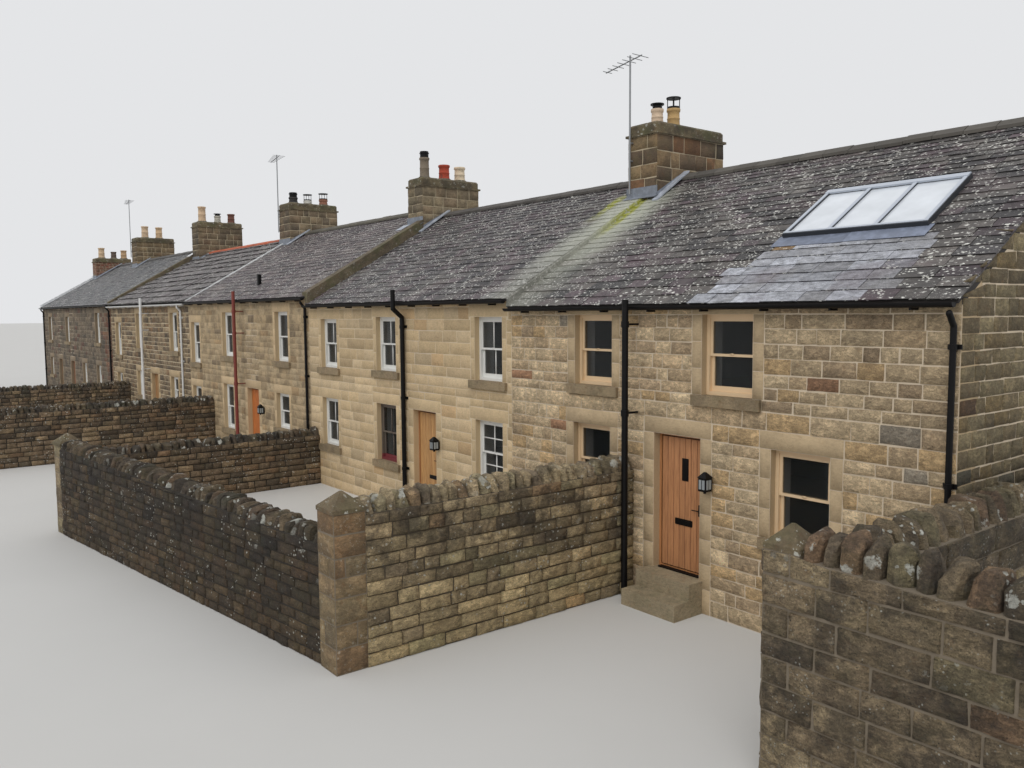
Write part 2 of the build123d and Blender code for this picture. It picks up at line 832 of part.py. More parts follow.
def aerial(key, foot, top, boom):
    """Mast held to a stack by two straps, with a boom and its short elements."""
    x0, x1, y0, y1, cap = stack_box(key)
    x = x0 + 110
    y = y0 - CAP_LIP - 35
    parts = [rod((x, y, foot), (x, y, top), 19)]
    for level in (cap - 700, cap - 350):
        parts.append(block(x - 30, x + 30, y, y0, level - 15, level + 15))
    start = (x - boom * 0.75, y, top - 190)
    finish = (x + boom * 0.35, y, top - 60)
    parts.append(rod(start, finish, 12))
    for index in range(7):
        part = 0.04 + 0.92 * index / 6
        cx = start[0] + (finish[0] - start[0]) * part
        cz = start[2] + (finish[2] - start[2]) * part
        reach = 120 + 110 * part
        parts.append(rod((cx, y - reach, cz), (cx, y + reach, cz), 7))
    return join(parts)


# Garden walls as runs: start, end, top at the start and at the end under the cope, height of the cope
GARDEN_AB = ((-4940, 0), (-4940, -4560), 1870, 1870, 240)
PATH_WALL = ((-5150, -4740), (-14100, -5910), 1470, 1680, 200)
FAR_WALLS = [
    ((-15700, 0), (-15700, -5300), 1230, 1230, 200),
    ((-23300, 0), (-23300, -6600), 1520, 1520, 200),
    ((-33300, 0), (-33300, -6600), 1400, 1400, 200),
]
NEAR_WALL = ((60, -2800), (2600, -2800), 2120, 2050, 340)
SIDE_WALL = ((370, -2600), (370, 3200), 2100, 2100, 310)
SIDE_RETURN = 400
# Piers: middle, top under the cap, turn in degrees, width, how far the cap stands out, rise of the cap
PIERS = [
    ((-4950, -4760), 1920, 0, 420, 12, 230),
    ((-14240, -5930), 1740, 7.7, 380, 30, 220),
    ((-23300, -6880), 1600, 0, 560, 35, 260),
    ((-120, -2820), 2150, 0, 360, 4, 225),
]


def run_frame(run):
    (xa, ya), (xb, yb), low, high, rise = run
    length = hypot(xb - xa, yb - ya)
    turn = degrees(atan2(yb - ya, xb - xa))
    return Pos(xa, ya, 0) * Rot(0, 0, turn), length


def garden_wall(run):
    """Wall of even thickness whose top runs straight from one height to the other."""
    place, length = run_frame(run)
    low, high = run[2], run[3]
    corners = [(0, 0, 0), (length, 0, 0), (length, 0, high), (0, 0, low)]
    side = make_face(Polyline(*corners, close=True))
    return place * Pos(0, -GARDEN_T / 2, 0) * extrude(side, amount=GARDEN_T, dir=(0, 1, 0))


def cope(run):
    """Rounded cope along a wall, the envelope of the stones set on edge."""
    place, length = run_frame(run)
    half = GARDEN_T / 2 + 10
    top, high, rise = run[2:]
    corners = [(0, -half, top), (0, half, top), (0, half, top + rise * 0.45)]
    corners += [(0, half * 0.72, top + rise * 0.85), (0, half * 0.3, top + rise)]
    corners += [(0, -half * 0.3, top + rise), (0, -half * 0.72, top + rise * 0.85)]
    corners += [(0, -half, top + rise * 0.45)]
    face = make_face(Polyline(*corners, close=True))
    reach = hypot(length, high - top)
    return place * extrude(face, amount=reach, dir=(length / reach, 0, (high - top) / reach))


def side_wall():
    """Wall beside the gable, with a short return that butts the gable."""
    (x, y0), (x1, y1), top, high, rise = SIDE_WALL
    inner = x - GARDEN_T / 2
    return garden_wall(SIDE_WALL) + block(0, inner, y1 - SIDE_RETURN, y1, 0, top)


def pier(index):
    (x, y), top, turn, width, out, rise = PIERS[index]
    return Pos(x, y, top / 2) * Rot(0, 0, turn) * Box(width, width, top)


def pier_cap(index):
    """Low slab with a four-sided point."""
    (x, y), top, turn, width, out, rise = PIERS[index]
    wide = width + 2 * out
    slab = Pos(0, 0, 25) * Box(wide, wide, 50)
    point = loft([Plane((0, 0, 50)) * Rectangle(wide, wide), Plane((0, 0, rise)) * Rectangle(30, 30)])
    return Pos(x, y, top) * Rot(0, 0, turn) * (slab + point)


def trim(piece, cutters):
    for cutter in cutters:
        piece = piece - cutter
    return piece


def main():
    os.makedirs("parts", exist_ok=True)
    for name in HOUSES:
        save("front_wall_" + name, front_wall(name))
    save("walls_over_doors", walls_over_doors())
    save("back_walls", back_walls())
    save("party_walls", party_walls())
    right, left = ends("a")[0], ends("e")[1]
    save("gable_wall_right", cross_wall(["a"], right - WALL_T, right))
    save("gable_wall_left", cross_wall(["e"], left, left + WALL_T))
    ground, upper = floors()
    save("ground_floors", ground)
    save("upper_floors", upper)
    save("roof_front", roof("front"))
    save("roof_back", roof("back"))
    save("ridge_tiles", ridge_tiles())
    save("roof_copings", roof_copings())
    save("chimney_stacks", chimney_stacks())
    save("chimney_caps", chimney_caps())
    save("chimney_pots", chimney_pots())
    save("chimney_cowls", chimney_cowls())
    frames, uppers, lowers, panes = front_windows(["a"])
    save("window_frames_a", frames)
    save("upper_sashes_a", uppers)
    save("lower_sashes_a", lowers)
    frames, uppers, lowers, more = front_windows(["b", "c", "d", "e"])
    save("window_frames", frames)
    save("upper_sashes", uppers)
    save("lower_sashes", lowers)
    save("window_glass", group(panes + more))
    frames, panes = back_windows()
    save("back_window_frames", frames)
    save("back_window_glass", panes)
    save("window_sills", window_sills())
    save("door_frames", door_frames())
    save("doorsteps", doorsteps())
    for key in DOORS:
        save("door_" + key, door_leaf(key))
    frame, panes = rooflight()
    save("rooflight_frame", frame)
    save("rooflight_glass", panes)
    save("gutters", group([gutter(name) for name in "abce"]))
    save("gutter_white", gutter("d"))
    save("downpipes_black", group([swan_neck(*spot) for spot in PIPES_BLACK] + [soil_pipe(*SOIL_BLACK)]))
    save("downpipe_red", tall_pipe_at(*SOIL_RED))
    save("downpipe_white", group([tall_pipe_at(*SOIL_WHITE), swan_neck(*PIPE_CREAM)]))
    save("vent_pipe", group([tall_pipe(VENT_X, VENT_TOP, [2750, 4060]), roof_vent()]))
    save("lanterns", group([lantern(*spot) for spot in LANTERNS]))
    save("aerials", group([aerial(*spot) for spot in AERIALS]))
    piers = [pier(index) for index in range(len(PIERS))]
    save("garden_piers", group(piers))
    save("pier_caps", group([pier_cap(index) for index in range(len(PIERS))]))
    save("garden_wall_ab", trim(garden_wall(GARDEN_AB), piers[:1] + [window_sills()]))
    save("path_wall", trim(garden_wall(PATH_WALL), piers[:2]))
    save("garden_walls_far", group([trim(garden_wall(run), piers) for run in FAR_WALLS]))
    save("near_wall", trim(garden_wall(NEAR_WALL), piers[3:]))
    save("side_wall", trim(side_wall(), piers[3:]))
    runs = [GARDEN_AB, PATH_WALL] + FAR_WALLS + [NEAR_WALL, SIDE_WALL]
    caps = [pier_cap(index) for index in range(len(PIERS))]
    cutters = piers + caps + [side_wall()]
    save("garden_copes", group([trim(cope(run), cutters) for run in runs]))


main()
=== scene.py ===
"""Looks of the terraced house row: stones, slates, copes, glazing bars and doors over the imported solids."""

import math
from dataclasses import dataclass, replace

import bpy
import numpy as np
from mathutils import Matrix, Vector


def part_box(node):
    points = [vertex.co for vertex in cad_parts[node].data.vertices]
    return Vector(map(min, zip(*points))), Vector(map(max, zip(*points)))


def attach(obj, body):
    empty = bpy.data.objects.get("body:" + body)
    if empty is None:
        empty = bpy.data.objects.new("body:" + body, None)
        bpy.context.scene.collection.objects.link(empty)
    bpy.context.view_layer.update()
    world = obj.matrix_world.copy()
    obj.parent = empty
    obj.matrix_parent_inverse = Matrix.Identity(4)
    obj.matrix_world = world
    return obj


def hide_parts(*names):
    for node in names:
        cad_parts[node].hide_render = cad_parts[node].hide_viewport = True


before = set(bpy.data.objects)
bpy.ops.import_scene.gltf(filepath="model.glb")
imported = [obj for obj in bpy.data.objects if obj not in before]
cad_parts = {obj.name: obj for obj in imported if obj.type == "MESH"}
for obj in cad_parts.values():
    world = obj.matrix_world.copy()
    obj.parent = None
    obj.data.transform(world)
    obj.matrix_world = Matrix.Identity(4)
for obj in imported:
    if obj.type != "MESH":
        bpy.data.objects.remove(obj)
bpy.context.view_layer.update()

# The solids are half the size of the real row; sizes below are the real ones in metres
SCALE = 0.5
HOUSE = "houses"
UP = np.array([0, 0, 1.0])
rng = np.random.default_rng(51)

# Sizes that the solids share and that their boxes don't tell
ROOF_T = 0.118
EAVES_OUT = 0.1
EAVES_EDGE = 0.045
SILL_SEAT = 0.03
LEAF_W = 0.76
GARDEN_T = 0.4
LIGHT_Y = (1.4, 2.56)
LIGHT_UP = 0.095
LIGHT_FACE = 0.075
LIGHT_BAR = 0.05

# A set stone: width of the rim inside its joint, and how deep it is bedded or stands out at least
RIM = 0.007
BED = 0.003

# Dressed stone of the fronts: height of a lintel, its reach past a window and past a door, reach and height
# of a sill, width of a door's jamb and of a window's, of the first house and the others, height of a block
LINTEL = 0.235
HEAD_REACH = 0.175
LINTEL_REACH = 0.19
SILL_REACH = 0.145
SILL_TALL = 0.12
DOOR_JAMB = 0.2
WIDE_JAMB = 0.17
JAMB = 0.13
JAMB_BLOCK = 0.42

# Slates: colour of the tail edge against the face, darkened as painted shade under each slate, reach past the
# end walls and over a joint, half the gap between two of them, and length against the height that shows
TAIL_PAINTED_SHADE = 0.14
VERGE = 0.03
JOINT_REACH = 0.008
SLATE_GAP = 0.0045
SLATE_LAP = 1.6

# Light: linear colour of the sky, its strength on the object and as it is seen, and that of the lamp
SKY_COLOUR = (0.97, 0.98, 1.0, 1.0)
SKY_LIGHT = 0.72
SKY_SEEN = 0.8
LAMP = 1.0

# Camera of the photograph: place in real metres, turns in degrees, lens in millimetres on a 36 mm frame
EYE = (4.156, -9.332, 4.236)
YAW = 51.788
DOWN = 4.75
ROLL = -0.3957
LENS = 30.0


def paint(*colours):
    """Colours as they look on a screen, 0 to 255, as the linear values that shaders use."""
    seen = np.array(colours) / 255
    return np.where(seen > 0.04045, ((seen + 0.055) / 1.055) ** 2.4, seen / 12.92)


def each(values):
    """One value for each stone, shaped to spread over its grid of points."""
    return values[:, None, None]


class Heap:
    """Points, four-cornered faces and colours gathered for one piece."""

    def __init__(self):
        self.points = []
        self.faces = []
        self.tints = []
        self.count = 0

    def add(self, points, faces, tint):
        """Adds points (n, 3) in real metres, faces (m, 4) and one colour or one for each point."""
        points = np.asarray(points, float).reshape(-1, 3)
        self.points.append(points)
        self.faces.append(faces + self.count)
        self.tints.append(np.broadcast_to(tint, points.shape))
        self.count += len(points)

    def piece(self, name, material, body=HOUSE, smooth=True, replaces=()):
        """Turns the heap into an object that rides on a body."""
        faces = np.concatenate(self.faces)
        mesh = bpy.data.meshes.new(name)
        mesh.from_pydata(np.concatenate(self.points) * SCALE, [], faces)
        mesh.polygons.foreach_set("use_smooth", np.full(len(faces), smooth))
        colours = mesh.color_attributes.new(name="tint", type="FLOAT_COLOR", domain="POINT")
        values = np.insert(np.concatenate(self.tints), 3, 1.0, axis=1)
        colours.data.foreach_set("color", values.astype(np.float32).ravel())
        mesh.materials.append(MATERIALS[material])
        made = bpy.data.objects.new(name, mesh)
        bpy.context.scene.collection.objects.link(made)
        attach(made, body)
        if replaces:
            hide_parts(*replaces)


def copied(faces, count, points):
    """The faces of one form for many like forms, each with so many points."""
    return (faces + each(np.arange(count)) * points).reshape(-1, 4)


def grid_faces(rows, columns, copies=1, around=False):
    """Faces of grids of points, row by row; around joins the last column to the first."""
    index = np.arange(rows * columns).reshape(rows, columns)
    after = np.roll(index, -1, 1)
    faces = np.stack([index[:-1], after[:-1], after[1:], index[1:]], -1)
    return copied((faces if around else faces[:, :-1]).reshape(-1, 4), copies, rows * columns)


def end_faces(count, start=0, turned=False):
    """Rungs that close an even, convex outline: each face joins two points to the two across from them."""
    i = np.arange(count // 2 - 1)
    rungs = np.stack([i, i + 1, count - 2 - i, count - 1 - i], -1) + start
    return rungs[:, ::-1] if turned else rungs


def chamfered(width, height, cut):
    """Eight corners of a rectangle with its corners cut off."""
    w = width / 2
    h = height / 2
    half = np.array([(-w, -h + cut), (-w, h - cut), (-w + cut, h), (w - cut, h)])
    return np.concatenate([half, -half])


def bar(heap, start, finish, outline, tint, side=(1, 0, 0)):
    """An outline in side and up, carried along the straight line from start to finish. Three numbers stand
    for a rectangle with cut corners."""
    outline = chamfered(*outline) if isinstance(outline, tuple) else outline
    start = np.array(start, float)
    finish = np.array(finish, float)
    along = (finish - start) / np.linalg.norm(finish - start)
    ring = outline[:, :1] * np.array(side) + outline[:, 1:] * np.cross(along, side)
    count = len(outline)
    points = np.concatenate([start + ring, finish + ring])
    walls = grid_faces(2, count, around=True)
    faces = np.concatenate([walls, end_faces(count, 0, True), end_faces(count, count)])
    normal = np.cross(*(points[faces[0, [1, 3]]] - points[faces[0, 0]]))
    outwards = normal @ (points[faces[0]].mean(0) - points.mean(0)) > 0
    heap.add(points, faces if outwards else faces[:, ::-1], tint)


def plate(heap, x0, x1, y0, y1, z0, z1, tint, cut=0.004):
    """A slab with softened edges, as its cut-cornered outline carried from the front to the back."""
    x = (x0 + x1) / 2
    z = (z0 + z1) / 2
    bar(heap, (x, y0, z), (x, y1, z), (x1 - x0, z1 - z0, cut), tint)


def lathe(heap, centre, profile, tint, steps=20):
    """A closed profile of radius and height turned round an upright axis."""
    turn = np.linspace(0, 2 * math.pi, steps, endpoint=False)
    ring = np.stack([np.cos(turn), np.sin(turn), 0 * turn], -1)
    profile = np.array(profile + profile[:1])[:, None]
    points = profile[..., :1] * ring + profile[..., 1:] * UP + centre
    heap.add(points, grid_faces(len(profile), steps, around=True), tint)


class Plane:
    """An upright face of masonry: u runs to the right as seen from outside, z up, out is the way it faces."""

    def __init__(self, origin, out):
        self.origin = np.array([*origin, 0.0])
        self.out = np.array([*out, 0.0])
        self.along = np.cross(UP, self.out)

    def place(self, u, z, depth):
        return self.origin + u[..., None] * self.along + depth[..., None] * self.out + z[..., None] * UP


def bed_lines(low, high, height, marks=()):
    """Bed joints from low to high: the marks are kept and each gap between them is divided nearly evenly."""
    lines = [low]
    for mark in [*sorted(marks), high]:
        gap = mark - lines[-1]
        if mark > high or gap < 0.55 * height:
            continue
        share = np.cumsum(rng.uniform(0.82, 1.2, max(1, round(gap / height))))
        lines += list(lines[-1] + gap * share / share[-1])
    return lines


def free_band(low, high, blocks, left, right):
    """What is left of a course between left and right once the blocks there are taken away."""
    for u0, u1, z0, z1 in blocks:
        if u0 >= right - 0.002 or u1 <= left + 0.002 or z0 >= high or z1 <= low:
            continue
        if z0 <= low + 0.02:
            low = max(low, z1)
        elif z1 >= high - 0.02:
            high = min(high, z0)
        else:
            return low, low
    return low, high


def lay_course(left, right, low, high, blocks, length):
    """Stones of one course as rows of u0, u1, z0, z1, broken round the blocks."""
    ends = {u for u0, u1, z0, z1 in blocks for u in (u0, u1) if z0 < high and z1 > low and left < u < right}
    cuts = sorted({left, right} | ends)
    runs = []
    for a, b in zip(cuts, cuts[1:]):
        band = free_band(low, high, blocks, a, b)
        if runs and runs[-1][2:] == band:
            a = runs.pop()[0]
        runs.append((a, b, *band))
    stones = []
    for a, b, z0, z1 in runs:
        if z1 - z0 < 0.045 or b - a < 0.05:
            continue
        count = max(1, round((b - a) / rng.uniform(*length)))
        share = np.concatenate([[0], np.cumsum(rng.uniform(0.6, 1.5, count))])
        edges = a + (b - a) * share / share[-1]
        stones += [(u0, u1, z0, z1) for u0, u1 in zip(edges, edges[1:])]
    return stones


def lay(left, right, low, high, style, blocks=(), marks=(), taller=1.0):
    """Coursed stones over a face, broken round its blocks, as an array of u0, u1, z0, z1."""
    lines = bed_lines(low, high, style.course * taller, marks)
    stones = []
    for a, b in zip(lines, lines[1:]):
        stones += lay_course(left, right, a, b, blocks, style.length)
    return np.array(stones)


def under_line(stones, line):
    """Cuts stones below a sloping line; returns the stones and the height of their two top corners."""
    u0, u1, z0, z1 = stones.T
    tops = np.stack([np.minimum(z1, line(u0)), np.minimum(z1, line(u1))], -1)
    keep = tops.max(1) > z0 + 0.025
    return stones[keep], np.maximum(tops[keep], z0[keep, None] + 0.016)


def set_stones(heap, face, stones, tints, style, tops=None, cells=(7, 5), wobble=0.004):
    """Each stone is a grid over its four corners. The outermost ring lies on the bed of mortar, the next
    one stands out just inside the edge, and the inner points stand out by proud plus a random tooling."""
    count = len(stones)
    columns, rows = cells
    u0, u1, z0, z1 = (stones + np.array([1, -1, 1, -1]) * style.joint / 2).T
    tops = np.stack([z1, z1], -1) if tops is None else tops - style.joint / 2

    def shares(wide, points):
        """Places along one side of each stone, from 0 to 1, with the rim at both ends."""
        rim = (RIM / wide)[:, None]
        end = np.ones((count, 1))
        return np.concatenate([0 * end, rim + (1 - 2 * rim) * np.linspace(0, 1, points - 2), end], 1)

    s = shares(u1 - u0, columns)[:, None, :] + np.zeros((1, rows, 1))
    t = shares(z1 - z0, rows)[:, :, None] + np.zeros((1, 1, columns))
    shift = rng.normal(0, wobble, (count, 4, 2)).clip(-0.008, 0.008)
    moved = np.stack([(1 - s) * (1 - t), s * (1 - t), (1 - s) * t, s * t], -1) @ shift[:, None]
    top = each(tops[:, 0]) * (1 - s) + each(tops[:, 1]) * s
    u = each(u0) * (1 - s) + each(u1) * s + moved[..., 0]
    z = each(z0) * (1 - t) + top * t + moved[..., 1]
    depth = np.full((count, rows, columns), -BED)
    lift = style.proud * rng.uniform(0.75, 1.25, (count, 1, 1))
    inside = slice(1, -1)
    depth[:, inside, inside] = lift * 0.72 + rng.normal(0, style.rough / 2, (count, rows - 2, columns - 2))
    depth[:, 2:-2, 2:-2] = lift + rng.normal(0, style.rough, (count, rows - 4, columns - 4))
    depth[:, inside, inside] = np.maximum(depth[:, inside, inside], BED)
    tints = np.repeat(tints, rows * columns, axis=0)
    heap.add(face.place(u, z, depth), grid_faces(rows, columns, count), tints)


def pick_tints(stones, style, spread):
    """A colour of the stonework for each stone, a little lighter or darker."""
    weights = np.array(list(style.stones.values()), float)
    chosen = paint(*style.stones)[rng.choice(len(weights), len(stones), p=weights / weights.sum())]
    return chosen * rng.normal(1, spread, (len(stones), 1)).clip(0.7, 1.35)


def build(heap, face, style, stones, spread=0.1, tone=None, line=None, **shape):
    """Cuts the stones under a line, picks their colours, changes these by tone and sets the stones."""
    tops = None
    if line:
        stones, tops = under_line(stones, line)
    tints = pick_tints(stones, style, spread)
    if tone:
        tints = tone(stones, tints)
    set_stones(heap, face, stones, tints, style, tops, **shape)


def dress(face, blocks, style, proud, joint):
    """Sets smooth dressed blocks."""
    tints = paint(*style.dressed) * rng.normal(1, 0.06, (len(blocks), 1)).clip(0.85, 1.15)
    style = replace(style, proud=proud, rough=0.0006, joint=joint)
    set_stones(smooth_stones, face, np.array(blocks), tints, style, cells=(5, 5), wobble=0.001)


def split_block(u0, u1, z0, z1, height):
    """A tall dressed block as a stack of nearly equal ones."""
    levels = np.linspace(z0, z1, max(1, round((z1 - z0) / height)) + 1)
    return [(u0, u1, a, b) for a, b in zip(levels, levels[1:])]


class Run:
    """A garden wall: its stonework, ends, tops under the cope at both ends and height of the cope. Faces
    that are laid apart have their numbers in apart."""

    def __init__(self, style, start, finish, low, high, rise, apart=()):
        self.style = style
        self.start = np.array(start, float)
        self.finish = np.array(finish, float)
        self.low = low
        self.high = high
        self.rise = rise
        self.apart = apart
        self.length = np.linalg.norm(self.finish - self.start)
        self.way = (self.finish - self.start) / self.length
        self.left = np.array([-self.way[1], self.way[0]])

    def faces(self):
        """The two long faces and two ends as plane, first u, last u and top at each of them."""
        half = GARDEN_T / 2
        for out in (self.left, -self.left):
            plane = Plane(self.start + out * half, out)
            reach = float(np.dot(self.way, plane.along[:2])) * self.length
            tops = (self.low, self.high) if reach > 0 else (self.high, self.low)
            yield plane, min(0.0, reach), max(0.0, reach), *tops
        for point, out, top in ((self.start, -self.way, self.low), (self.finish, self.way, self.high)):
            yield Plane(point, out), -half, half, top, top


GARDEN_AB = Run("garden", (-4.94, 0), (-4.94, -4.56), 1.87, 1.87, 0.24)
PATH_WALL = Run("path", (-5.15, -4.74), (-14.1, -5.91), 1.47, 1.68, 0.2)
FAR_WALLS = [Run("path", (x, 0), (x, y), top, top, 0.2)
             for x, y, top in ((-15.7, -5.3, 1.23), (-23.3, -6.6, 1.52), (-33.3, -6.6, 1.4))]
NEAR_WALL = Run("near", (0.06, -2.8), (2.6, -2.8), 2.12, 2.05, 0.34, apart=(1, 2))
SIDE_WALL = Run("near", (0.37, -2.6), (0.37, 3.2), 2.1, 2.1, 0.31)
RUNS = [GARDEN_AB, PATH_WALL, *FAR_WALLS, NEAR_WALL, SIDE_WALL]
# Piers: middle in plan, top, turn in degrees, width; the last one is flush with the near wall
PIERS = [(-4.95, -4.76, 1.92, 0, 0.42), (-14.24, -5.93, 1.74, 7.7, 0.38), (-23.3, -6.88, 1.6, 0, 0.56),
         (-0.12, -2.82, 2.15, 0, 0.36)]


def solid_boxes(*nodes):
    """Lowest and highest corners in real metres of each separate solid of these CAD nodes. Triangles that
    share a corner get the smallest label among them, again and again until no label changes."""
    boxes = []
    for node in nodes:
        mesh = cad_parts[node].data
        points = np.empty(len(mesh.vertices) * 3, np.float32)
        mesh.vertices.foreach_get("co", points)
        corner = np.empty(len(mesh.loops), np.int32)
        mesh.loops.foreach_get("vertex_index", corner)
        places, index = np.unique(np.round(points.reshape(-1, 3), 5), axis=0, return_inverse=True)
        corner = index.ravel()[corner].reshape(-1, 3)
        label = np.arange(len(places))
        before = None
        while before is None or (label != before).any():
            before = label.copy()
            np.minimum.at(label, corner.ravel(), np.repeat(before[corner].min(1), 3))
        for value in np.unique(label):
            own = places[label == value] / SCALE
            boxes.append(np.concatenate([own.min(0), own.max(0)]))
    return sorted(boxes, key=lambda box: -box[3])


def real_box(node):
    low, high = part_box(node)
    return np.array([*low, *high]) / SCALE


DEPTH = real_box("back_walls")[4]
RIDGE_Y = DEPTH / 2
RUN = RIDGE_Y + EAVES_OUT
STACKS = solid_boxes("chimney_stacks")
LIGHT = real_box("rooflight_frame")
WINDOW_BOXES = solid_boxes("window_frames", "window_frames_a")
DOOR_BOXES = solid_boxes("door_frames")
BACK_BOXES = solid_boxes("back_window_frames")


class House:
    """One house of the row, with its ends, roof and openings read from the solids."""

    def __init__(self, name, roof):
        wall = real_box("front_wall_" + name)
        self.name = name
        self.x0 = wall[0]
        self.x1 = wall[3]
        self.roof_x0 = roof[0]
        self.roof_x1 = roof[3]
        self.ridge = roof[5]
        part = EAVES_OUT / RUN
        self.eaves = (roof[2] + ROOF_T - self.ridge * part) / (1 - part)
        self.rise = self.ridge - self.eaves
        self.slant = math.hypot(RUN, self.rise)
        self.slope = np.array([0, RUN, self.rise]) / self.slant
        self.windows = self.openings(WINDOW_BOXES, SILL_SEAT)
        self.doors = self.openings(DOOR_BOXES)
        self.back_windows = self.openings(BACK_BOXES)

    def openings(self, boxes, seat=0.0):
        """Those of the boxes that lie in this house, as x0, x1, z0, z1."""
        return [(b[0], b[3], b[2] - seat, b[5]) for b in boxes if self.x0 < b[0] < self.x1]

    def top(self, y):
        """Height of the top of the roof at a depth y."""
        return self.eaves + self.rise * (np.minimum(y, DEPTH - y) + EAVES_OUT) / RUN


HOUSES = [House(name, roof) for name, roof in zip("abcde", solid_boxes("roof_front"))]


def maths(operation, turned=False):
    """A method that joins a wire and another wire or number by a Math node."""
    def join(self, other=0.0):
        first, second = (other, self) if turned else (self, other)
        return self.finish.node("Math", {"operation": operation}, {0: first, 1: second})
    return join


class Wire:
    """One output of a node. Sums, products and the like of wires and numbers add Math nodes."""

    def __init__(self, finish, socket):
        self.finish = finish
        self.socket = socket

    __add__ = maths("ADD")
    __radd__ = maths("ADD", turned=True)
    __sub__ = maths("SUBTRACT")
    __rsub__ = maths("SUBTRACT", turned=True)
    __mul__ = maths("MULTIPLY")
    above = maths("GREATER_THAN")
    size = maths("ABSOLUTE")
    most = maths("MAXIMUM")
    least = maths("MINIMUM")


class Finish:
    """A material or the sky in the making: nodes are added by one method and wires are joined by expressions.
    A colour of three numbers is given as it looks, 0 to 255."""

    def __init__(self, owner):
        self.owner = owner
        owner.use_nodes = True
        self.tree = owner.node_tree
        self.tree.nodes.clear()
        self.place = self.node("TexCoord", {}, {}, "Object")

    def node(self, kind, settings, inputs, output=0):
        """Adds a node, sets it up and gives one of its outputs."""
        made = self.tree.nodes.new("ShaderNode" + kind)
        for key, value in settings.items():
            setattr(made, key, value)
        for key, value in inputs.items():
            if isinstance(value, Wire):
                self.tree.links.new(value.socket, made.inputs[key])
            elif made.inputs[key].type == "RGBA" and len(value) == 3:
                made.inputs[key].default_value = (*paint(*value), 1.0)
            else:
                made.inputs[key].default_value = value
        return Wire(self, made.outputs[output]) if made.outputs else made

    def stretched(self, stretch):
        return self.node("VectorMath", {"operation": "MULTIPLY"}, {0: self.place, 1: stretch})

    def noise(self, size, detail=3.0, rough=0.55, stretch=None):
        """Cloudy pattern whose lumps have a real size in metres, stretched along the axes if asked."""
        place = self.stretched(stretch) if stretch else self.place
        values = {"Vector": place, "Scale": 1 / (size * SCALE), "Detail": detail, "Roughness": rough}
        return self.node("TexNoise", {}, values)

    def cells(self, size, stretch=(1.0, 1.0, 1.0)):
        """Distance from the middle of cells of a real size."""
        values = {"Vector": self.stretched(stretch), "Scale": 1 / (size * SCALE)}
        return self.node("TexVoronoi", {}, values, "Distance")

    def fade(self, value, low, high):
        """0 below low, 1 above high and smooth between them."""
        return self.node("MapRange", {"interpolation_type": "SMOOTHSTEP"}, {0: value, 1: low, 2: high})

    def axis(self, name):
        """A coordinate in real metres."""
        return self.node("SeparateXYZ", {}, {0: self.place}, name) * (1 / SCALE)

    def mix(self, factor, first, second, blend="MIX"):
        """Colour mixed from two, by a factor from 0 to 1."""
        settings = {"data_type": "RGBA", "blend_type": blend}
        return self.node("Mix", settings, {0: factor, 6: first, 7: second}, 2)

    def tint(self):
        return self.node("VertexColor", {"layer_name": "tint"}, {}, "Color")

    def shade(self, colour, amount):
        """Colour made lighter or darker by a value about 1."""
        grey = self.node("CombineColor", {}, {0: amount, 1: amount, 2: amount})
        return self.mix(1.0, colour, grey, "MULTIPLY")

    def patches(self, colour, tone, amount, low, high, *noise):
        """Colour with a tone over it where a cloudy pattern is high."""
        return self.mix(self.fade(self.noise(*noise), low, high) * amount, colour, tone)

    def bump(self, height, depth, under=None):
        """Normal from a height of 0 to 1 that stands for a real depth in metres."""
        inputs = {"Height": height, "Distance": depth * SCALE, "Strength": 1.0}
        return self.node("Bump", {}, inputs | ({"Normal": under} if under else {}))

    def done(self, colour, roughness, normal=None, **fixed):
        """Puts the colour, roughness and normal on the shader; fixed are plain values on its own sockets."""
        inputs = {"Base Color": colour, "Roughness": roughness} | ({"Normal": normal} if normal else {})
        inputs.update({key.replace("_", " "): value for key, value in fixed.items()})
        self.node("OutputMaterial", {}, {"Surface": self.node("BsdfPrincipled", {}, inputs)})
        return self.owner


def lichen_spots(f, colour, amount, size, coverage, spread):
    """Blots of lichen in two sizes: cells with ragged edges, gathered by a cloudy pattern."""
    clump = f.fade(f.noise(size * 9, 2), coverage - 0.12, coverage + 0.05)
    blot = f.cells(size * 2.6) + f.noise(size * 0.7, 4, 0.7) * 0.7
    blot = 1 - f.fade(blot, 0.52 + spread, 0.6 + spread)
    dot = f.cells(size * 0.8) + f.noise(size * 0.4, 3) * 0.5
    dot = 1 - f.fade(dot, 0.42 + spread * 0.5, 0.49 + spread * 0.5)
    mask = (blot * clump).most(dot * f.fade(f.noise(size * 5), 0.5, 0.6)) * amount
    return f.mix(mask, colour, (204, 204, 194))


